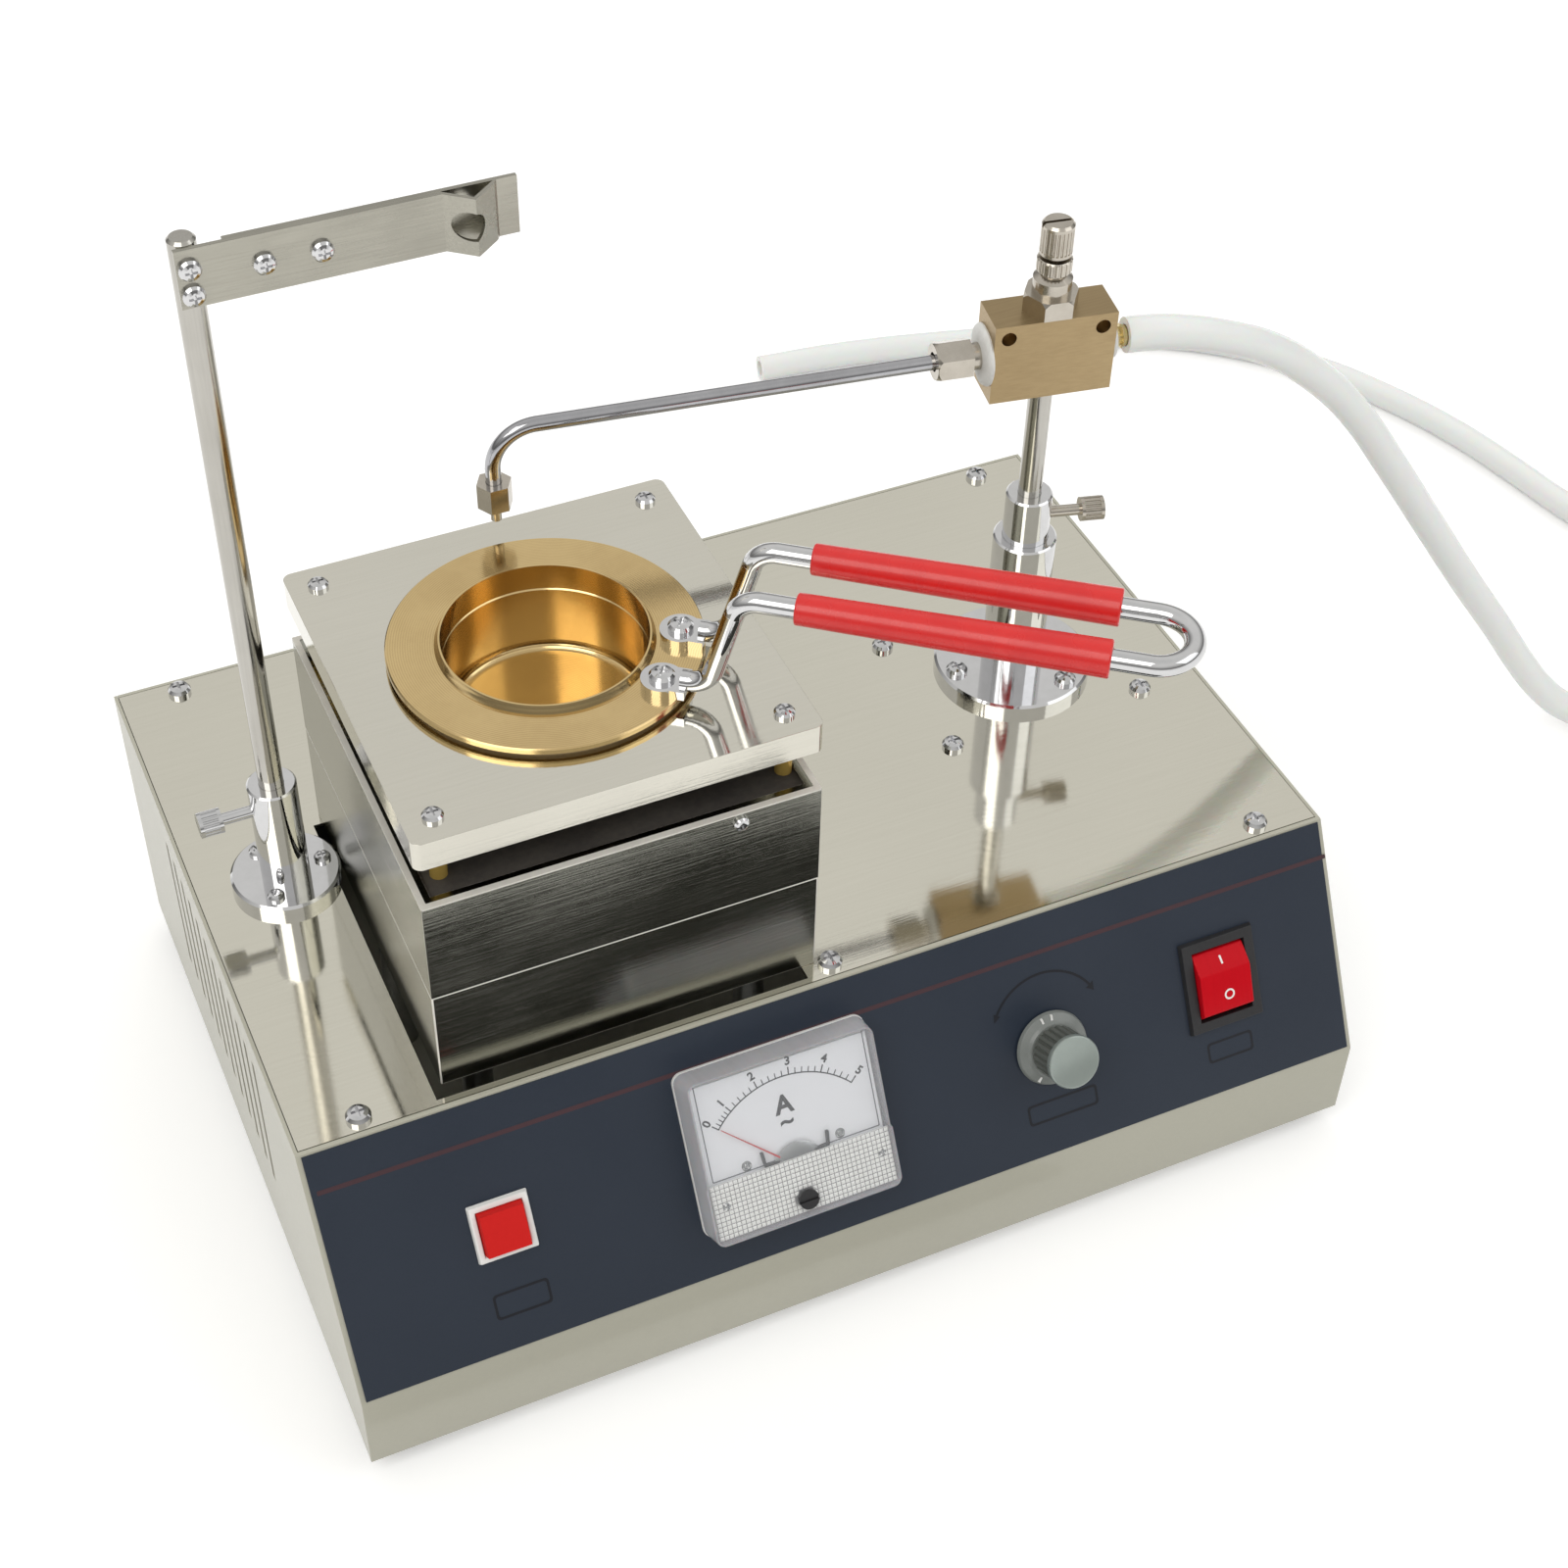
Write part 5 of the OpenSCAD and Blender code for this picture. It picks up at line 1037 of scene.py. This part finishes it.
@dataclass
class Meter:
    """The panel meter: clear cover, printed dial, dimpled lower strip and needle.

    The printed scale has its centre at pivot and the needle turns about axle. Ticks have a
    reach and a width, the figures a size and a distance from the arc, and screws and barrels
    a place, a radius and heights. The heights of the strip, the prints, the dome and the
    needle are over the dial. A screw's outline has shares of its radius.
    """

    centre: Flat = (149.6, 42.6)
    width: float = 66.1
    length: float = 57.5
    rise: float = 0.35
    corner: float = 3.4
    dial_z: float = 8.0
    top_z: float = 12.0
    split_y: float = -7.4
    split_step: float = 0.9
    window_in: Flat = (0.972, 0.998)
    strip_in: float = 0.99
    moulding: Tuple[float, float, float] = (59.5, 50.0, 1.5)
    barrels: Tuple[Tuple[float, float, float, float], ...] = (
        (0, 22.5, -31.7, 0.05), (-10, 2.5, -39.7, -31.6), (10, 2.5, -39.7, -31.6))
    strip_x: float = 0.2
    strip_z: Flat = (1.5, 2.1)
    pitch: float = 1.6
    cols: int = 39
    rows: int = 12
    # Width of the dark grey rim painted as shade round each stud.
    groove: float = 0.17
    stud: float = 0.5
    hole_r: float = 3.2
    pivot: Flat = (0.0, -11.3)
    axle: Flat = (0.0, -11.0)
    arc_r: float = 31.5
    ink_z: float = 0.06
    needle_r: float = 31.0
    needle_w: Flat = (0.35, 0.12)
    needle_z: Flat = (0.8, 1.1)
    tail: Flat = (6.0, 1.5)
    hub_r: float = 1.9
    hub_z: Flat = (0.5, 1.2)
    marks: Tuple[float, ...] = (-48.0, -35.4, -15.3, 5.0, 25.2, 46.5)
    tick: Flat = (2.6, 0.42)
    small_tick: Flat = (1.9, 0.32)
    figure: Flat = (4.0, 4.6)
    signs: Tuple[Tuple[str, str, float, Flat], ...] = (
        ("meter_unit", "A", 8.8, (-0.8, 10.6)), ("meter_wave", "~", 7.6, (-0.8, 4.9)))
    zero_at: Flat = (0.0, -21.6)
    face: Flat = (58.6, 27.0)
    # Width of the dark line painted round the dial as the cover wall's shade.
    face_line: float = 0.7
    stops: Tuple[Tuple[Flat, Flat], ...] = (
        ((11.4, -2.4), (11.0, -7.0)), ((11.3, -7.0), (6.0, -7.2)))
    stop_w: float = 0.9
    dome: Tuple[Flat, ...] = (
        (0, 1.8), (3, 1.73), (6, 1.45), (8.2, 1.0), (8.7, 0.75), (8.3, 0.6), (0, 0.6))
    screw: Tuple[Flat, ...] = (
        (0, 0.35), (0.35, 0.32), (0.5, 0.12), (0.62, 0.34), (1, 0.2), (1, -0.1), (0, -0.1))
    screws: Tuple[Tuple[float, float, float, float], ...] = (
        (-16.9, -5.3, 8.0, 1.7), (15.8, -5.1, 8.0, 1.7), (-26.6, -15.4, 10.1, 1.35),
        (28.0, -15.7, 10.1, 1.35))

    def build(self, bench: Bench) -> None:
        """Builds the meter's pieces.

        Args:
            bench: the bench that makes them.
        """
        place = panel_matrix(*self.centre, OVERLAY)
        bench.piece("meter_rim", self._rim, ACRYLIC, place, replaces=["meter_window"])
        bench.piece("meter_base", self._base, WHITE, place, replaces=["meter_case"])
        bench.piece("meter_pane", self._pane, CLEAR, place)
        strip = bench.piece("meter_strip", self._strip, DIMPLED, place, sharp=5)
        # Its second slot is the dark grey painted as shade between the studs.
        strip.data.materials.append(STUD_VALLEY_SHADE.material())
        for name, build, finish in (
                ("meter_scale", self._scale, INK), ("meter_wall_shade", self._face_line, WALL_SHADE_INK),
                ("meter_stops", self._stops, BLACK), ("meter_dome", self._dome, SILVER),
                ("meter_screws", self._screws, SILVER)):
            bench.piece(name, build, finish, place)
        bench.piece("meter_pointer", self._needle, RED_INK, place, "meter_needle",
                    ["meter_needle"])
        size, gap = self.figure
        print_z = self.dial_z + 0.03
        for value, angle in enumerate(self.marks):
            at = (*clock(self.arc_r + gap, angle, self.pivot), print_z)
            bench.text(f"meter_figure_{value}", str(value), size, INK, place
                       @ Matrix.Translation(at) @ Matrix.Rotation(-math.radians(angle), 4, "Z"))
        for name, sign, size, at in self.signs:
            bench.text(name, sign, size, INK, place @ Matrix.Translation((*at, print_z)))

    def _outline(self, grow: float) -> List[Flat]:
        """Returns the cover's outline with its step at the strip, grown by some width."""
        w, d = self.width + 2 * grow, self.length + 2 * grow
        line = rounded(w, d, self.corner + grow, 6, 0, self.rise)
        half = len(line) // 2
        left = [(-w / 2, self.split_y + self.split_step), (-w / 2, self.split_y)]
        right = [(w / 2, self.split_y), (w / 2, self.split_y + self.split_step)]
        return line[:half] + left + line[half:] + right

    def _taper(self, grow: float) -> List[Flat]:
        """Returns the outline with the window's sides drawn in more than the strip's."""
        return [(x * (self.window_in[0] if y > self.split_y + 0.5 else self.strip_in),
                 y * (self.window_in[1] if y > 0 else self.strip_in))
                for x, y in self._outline(grow)]

    def _rim(self, bm: BMesh) -> None:
        """Builds the cover's walls, up the outside and down the inside."""
        top = self.top_z
        shell(bm, [[(x, y, z) for x, y in line] for line, z in (
            (self._outline(0), 1.2), (self._outline(0), 2.0), (self._taper(-0.1), top - 0.5),
            (self._taper(-0.25), top - 0.15), (self._taper(-0.4), top), (self._taper(-0.8), top),
            (self._taper(-1.0), top - 1.2), (self._outline(-1.1), 1.2))])

    def _base(self, bm: BMesh) -> None:
        """Builds the white moulding under the dial and the barrel behind the panel."""
        slab(bm, self._outline(0.2), 0, 1.15)
        slab(bm, rounded(*self.moulding, 4), 1.1, self.dial_z - 0.85)
        for x, r, low, high in self.barrels:
            slab(bm, circle(r, 64, x), low, high)

    def _pane(self, bm: BMesh) -> None:
        """Builds the clear sheet over the dial."""
        slab(bm, self._taper(-0.95), self.top_z - 1.0, self.top_z - 0.1)

    def _strip(self, bm: BMesh) -> None:
        """Builds the lower strip with its field of small pyramids, and a dark grey painted as shade
        on the flat rims between them.
        """
        low, high = (self.dial_z + z for z in self.strip_z)
        wide, deep = self.cols * self.pitch, self.rows * self.pitch
        bmesh.ops.create_grid(bm, x_segments=self.cols, y_segments=self.rows, size=0.5)
        bmesh.ops.scale(bm, vec=(wide, deep, 1), verts=bm.verts)
        bmesh.ops.translate(bm, vec=(self.strip_x, self.split_y - deep / 2, low), verts=bm.verts)
        hole = [f for f in bm.faces
                if (f.calc_center_median().xy - Vector(self.zero_at)).length < self.hole_r]
        bmesh.ops.delete(bm, geom=hole, context="FACES")
        for f in bm.faces:
            if f.normal.z > 0:
                f.normal_flip()
        ring = bmesh.ops.extrude_face_region(bm, geom=bm.faces[:], use_keep_orig=True)
        top = [v for v in ring["geom"] if isinstance(v, BMVert)]
        bmesh.ops.translate(bm, verts=top, vec=(0, 0, high - low))
        bmesh.ops.recalc_face_normals(bm, faces=bm.faces)
        faces = [f for f in bm.faces if f.normal.z > 0.9]
        # The flat rims round each stud take the dark grey: painted shade in the valleys.
        for f in bmesh.ops.inset_individual(bm, faces=faces, thickness=self.groove)["faces"]:
            f.material_index = 1
        bmesh.ops.poke(bm, faces=faces, offset=self.stud, center_mode="MEAN",
                       use_relative_offset=False)

    def _scale(self, bm: BMesh) -> None:
        """Draws the arc with its major and minor ticks."""
        low, high = self.dial_z - PRINT_RISE, self.dial_z + self.ink_z
        slab(bm, band(self.arc_r, self.tick[1], self.marks[0], self.marks[-1], 60, self.pivot),
             low, high)
        ticks = [(a, *self.tick) for a in self.marks]
        for a, b in zip(self.marks, self.marks[1:]):
            ticks += [(a + (b - a) * i / 5, *self.small_tick) for i in range(1, 5)]
        for angle, reach, width in ticks:
            slab(bm, bar(clock(self.arc_r - 0.2, angle, self.pivot),
                         clock(self.arc_r + reach, angle, self.pivot), width), low, high + 0.01)

    def _face_line(self, bm: BMesh) -> None:
        """Draws a thin dark line round the dial: painted shade standing for the shadow and
        refracted edge of the cover's inner wall.
        """
        (wide, top), low = self.face, self.split_y + 0.1
        mid, tall = (top + low) / 2, top - low
        frame_ring(bm, rounded(wide, tall, 0.4, 2, 0.3, mid),
                   rounded(wide - self.face_line, tall - self.face_line, 0.3, 2, 0.3, mid),
                   self.dial_z - PRINT_RISE, self.dial_z + self.ink_z)

    def _stops(self, bm: BMesh) -> None:
        """Builds the two bent stops beside the dome."""
        low, high = self.dial_z - PRINT_RISE, self.dial_z + 1.2
        for side in (-1, 1):
            for (x0, y0), (x1, y1) in self.stops:
                slab(bm, bar((side * x0, y0), (side * x1, y1), self.stop_w), low, high)

    def _dome(self, bm: BMesh) -> None:
        """Builds the cap over the needle's axle."""
        turned(bm, [(r, self.dial_z + z) for r, z in self.dome], 48)
        bmesh.ops.translate(bm, verts=bm.verts, vec=(*self.axle, 0))

    def _screws(self, bm: BMesh) -> None:
        """Builds the four small screws, two on the dial and two in the strip."""
        for x, y, z, r in self.screws:
            before = set(bm.verts)
            turned(bm, [(r * share, up) for share, up in self.screw], 24)
            bmesh.ops.translate(bm, verts=[v for v in bm.verts if v not in before],
                                vec=(x, y, z))

    def _needle(self, bm: BMesh) -> None:
        """Builds the needle at zero, its tail and its hub."""
        a, (low, high) = self.marks[0], (self.dial_z + z for z in self.needle_z)
        tip = clock(self.needle_r, a, self.axle)
        thick, thin = self.needle_w
        slab(bm, [clock(thick, a + 90, self.axle), clock(thin, a + 90, tip),
                  clock(thin, a - 90, tip), clock(thick, a - 90, self.axle)], low, high)
        slab(bm, bar(self.axle, clock(-self.tail[0], a, self.axle), self.tail[1]), low, high)
        slab(bm, circle(self.hub_r, 24, *self.axle), *(self.dial_z + z for z in self.hub_z))


@dataclass
class HeatKnob:
    """The control knob: marked skirt, fluted grip and flat cap.

    skirt and cap are outlines of (radius, height) pairs, over the face of the skirt's foot.
    """

    centre: Flat = (246.5, 47.4)
    gap: float = 0.6
    skirt: Tuple[Flat, ...] = (
        (0, -11), (3, -11), (3, 0), (12.7, 0), (13, 0.3), (12.5, 1.4), (12.1, 1.65), (10.4, 2.3),
        (9.9, 2.6), (9.2, 3.3), (0, 3.3))
    grip_r: float = 8.7
    grip_z: Flat = (2.8, 14.5)
    cap: Tuple[Flat, ...] = (
        (0, 14.2), (8.9, 14.2), (9.2, 14.5), (9.2, 15.9), (9, 16.25), (8.7, 16.4), (8.35, 16.28),
        (0, 16.28))
    flutes: int = 22
    flute_depth: float = 0.75
    marks: Tuple[float, ...] = (104.0, 86.0, 232.0)
    mark_r: Flat = (10.2, 12.2)
    mark_w: float = 0.7
    mark_z: Flat = (1.5, 2.35)

    def build(self, bench: Bench) -> None:
        """Builds the knob's three parts and its marks.

        Args:
            bench: the bench that makes the pieces.
        """
        place = panel_matrix(*self.centre, OVERLAY + self.gap)
        for name, build, finish, nodes in (
                ("knob_skirt_ring", self._skirt, KNOB_LIGHT, ["heat_knob"]),
                ("knob_grip", self._grip, KNOB_GREY, []),
                ("knob_cap_disc", self._cap, CAP_METAL, []),
                ("knob_marks", self._marks, WHITE, [])):
            bench.piece(name, build, finish, place, "heat_knob", nodes)

    def _skirt(self, bm: BMesh) -> None:
        """Turns the skirt and the shaft behind it."""
        turned(bm, self.skirt, 72)

    def _grip(self, bm: BMesh) -> None:
        """Raises the fluted grip."""
        line = []
        for i in range(self.flutes * 6):
            a = math.tau * i / (self.flutes * 6)
            dip = self.flute_depth * max(0.0, math.sin(math.tau * (i % 6) / 6)) ** 0.5
            line.append(((self.grip_r - dip) * math.cos(a), (self.grip_r - dip) * math.sin(a)))
        slab(bm, line, *self.grip_z)

    def _cap(self, bm: BMesh) -> None:
        """Turns the flat cap with its bright rim."""
        turned(bm, self.cap, 72)

    def _marks(self, bm: BMesh) -> None:
        """Lays the white marks on the skirt."""
        for angle in self.marks:
            near, far = (clock(r, 90 - angle) for r in self.mark_r)
            slab(bm, bar(near, far, self.mark_w), *self.mark_z)


@dataclass
class Switches:
    """The rocker with its on and off marks, and the square key.

    A mark has its place from the rocker's axle and its tilt in degrees.
    """

    rocker_at: Flat = (312.4, 44.4)
    pivot_depth: float = 3.0
    key_edge: float = 0.45
    on_at: Tuple[Point, float] = ((0, 8.2, 6.22), -28.5)
    on_size: Flat = (0.75, 3.0)
    off_at: Tuple[Point, float] = ((0.7, -4.3, 7.71), 3.35)
    off_r: Flat = (1.95, 1.3)
    mark_z: Flat = (-0.1, 0.05)

    def build(self, bench: Bench) -> None:
        """Rounds the moulded parts and lays the marks.

        Args:
            bench: the bench that makes the pieces.
        """
        bench.rounded_copy("rocker_housing", BLACK, 0.35)
        bench.rounded_copy("rocker_key", RED_ROCKER, self.key_edge, 3, "rocker")
        bench.rounded_copy("scan_housing", WHITE, 0.4)
        bench.rounded_copy("scan_key", RED_BUTTON, self.key_edge, 3, "scan_key")
        pivot = panel_matrix(*self.rocker_at, -self.pivot_depth)
        for name, build, (at, tilt) in (("rocker_mark_on", self._line, self.on_at),
                                        ("rocker_mark_off", self._loop, self.off_at)):
            bench.piece(name, build, WHITE, pivot @ Matrix.Translation(at)
                        @ Matrix.Rotation(math.radians(tilt), 4, "X"), "rocker")

    def _line(self, bm: BMesh) -> None:
        """Draws the line of the on mark."""
        slab(bm, rounded(*self.on_size, 0.1, 1), *self.mark_z)

    def _loop(self, bm: BMesh) -> None:
        """Draws the ring of the off mark."""
        frame_ring(bm, *(circle(r, 40) for r in self.off_r), *self.mark_z)


def dress_nodes() -> None:
    """Gives the CAD nodes that are shown as they are their finishes."""
    for finish, nodes in (
            (PAINT, ("base_plate", "rear_panel")), (DECK_STEEL, ("deck_plate",)),
            (FILM, ("front_overlay",)), (RUBBER, ("feet",)), (CLAY, ("refractory_block",)),
            (WIRE, ("heater_coil",)), (POST_BRASS, ("standoffs",)), (GASKET, ("seat_ring",)),
            (DIAL, ("meter_dial",)), (BOARD, ("control_board",)), (CUP_BRASS, ("cup",)),
            (BRASS, ("hose_barb",)), (TUBE_STEEL, ("gas_tube",)),
            (ROD_STEEL, ("left_rod", "arm_rod")),
            (STRIP_STEEL, ("clamp_front_strip", "clamp_rear_strip")),
            (BLACK, ("heat_regulator", "power_inlet", "zero_adjuster")),
            (ZINC, ("furnace_posts", "motor_bracket", "swing_motor", "motor_coupler")),
            (NICKEL, ("right_thumbscrew", "needle_valve", "valve_knob", "tube_fitting",
                      "nozzle")),
            (CHROME, ("deck_screws", "case_screws", "furnace_screws", "plate_screws",
                      "left_flange", "left_flange_screws", "right_flange",
                      "right_flange_screws", "bracket_screws", "handle_rod", "handle_screws",
                      "clamp_screws", "left_thumbscrew", "swing_collar"))):
        for node in nodes:
            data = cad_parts[node].data
            data.materials.clear()
            data.materials.append(finish.material())


def main() -> None:
    """Builds the studio and every sub-assembly."""
    logging.basicConfig(level=logging.INFO, format="%(name)s: %(message)s")
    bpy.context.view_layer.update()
    bench = Bench()
    Studio().build()
    for part in (GasHose(), Casework(), GasFittings(), PanelPrint(), Meter(), HeatKnob(),
                 Switches()):
        part.build(bench)
    dress_nodes()
    LOG.info("%d pieces made", len(bench.made))


if __name__ == "__main__":
    main()
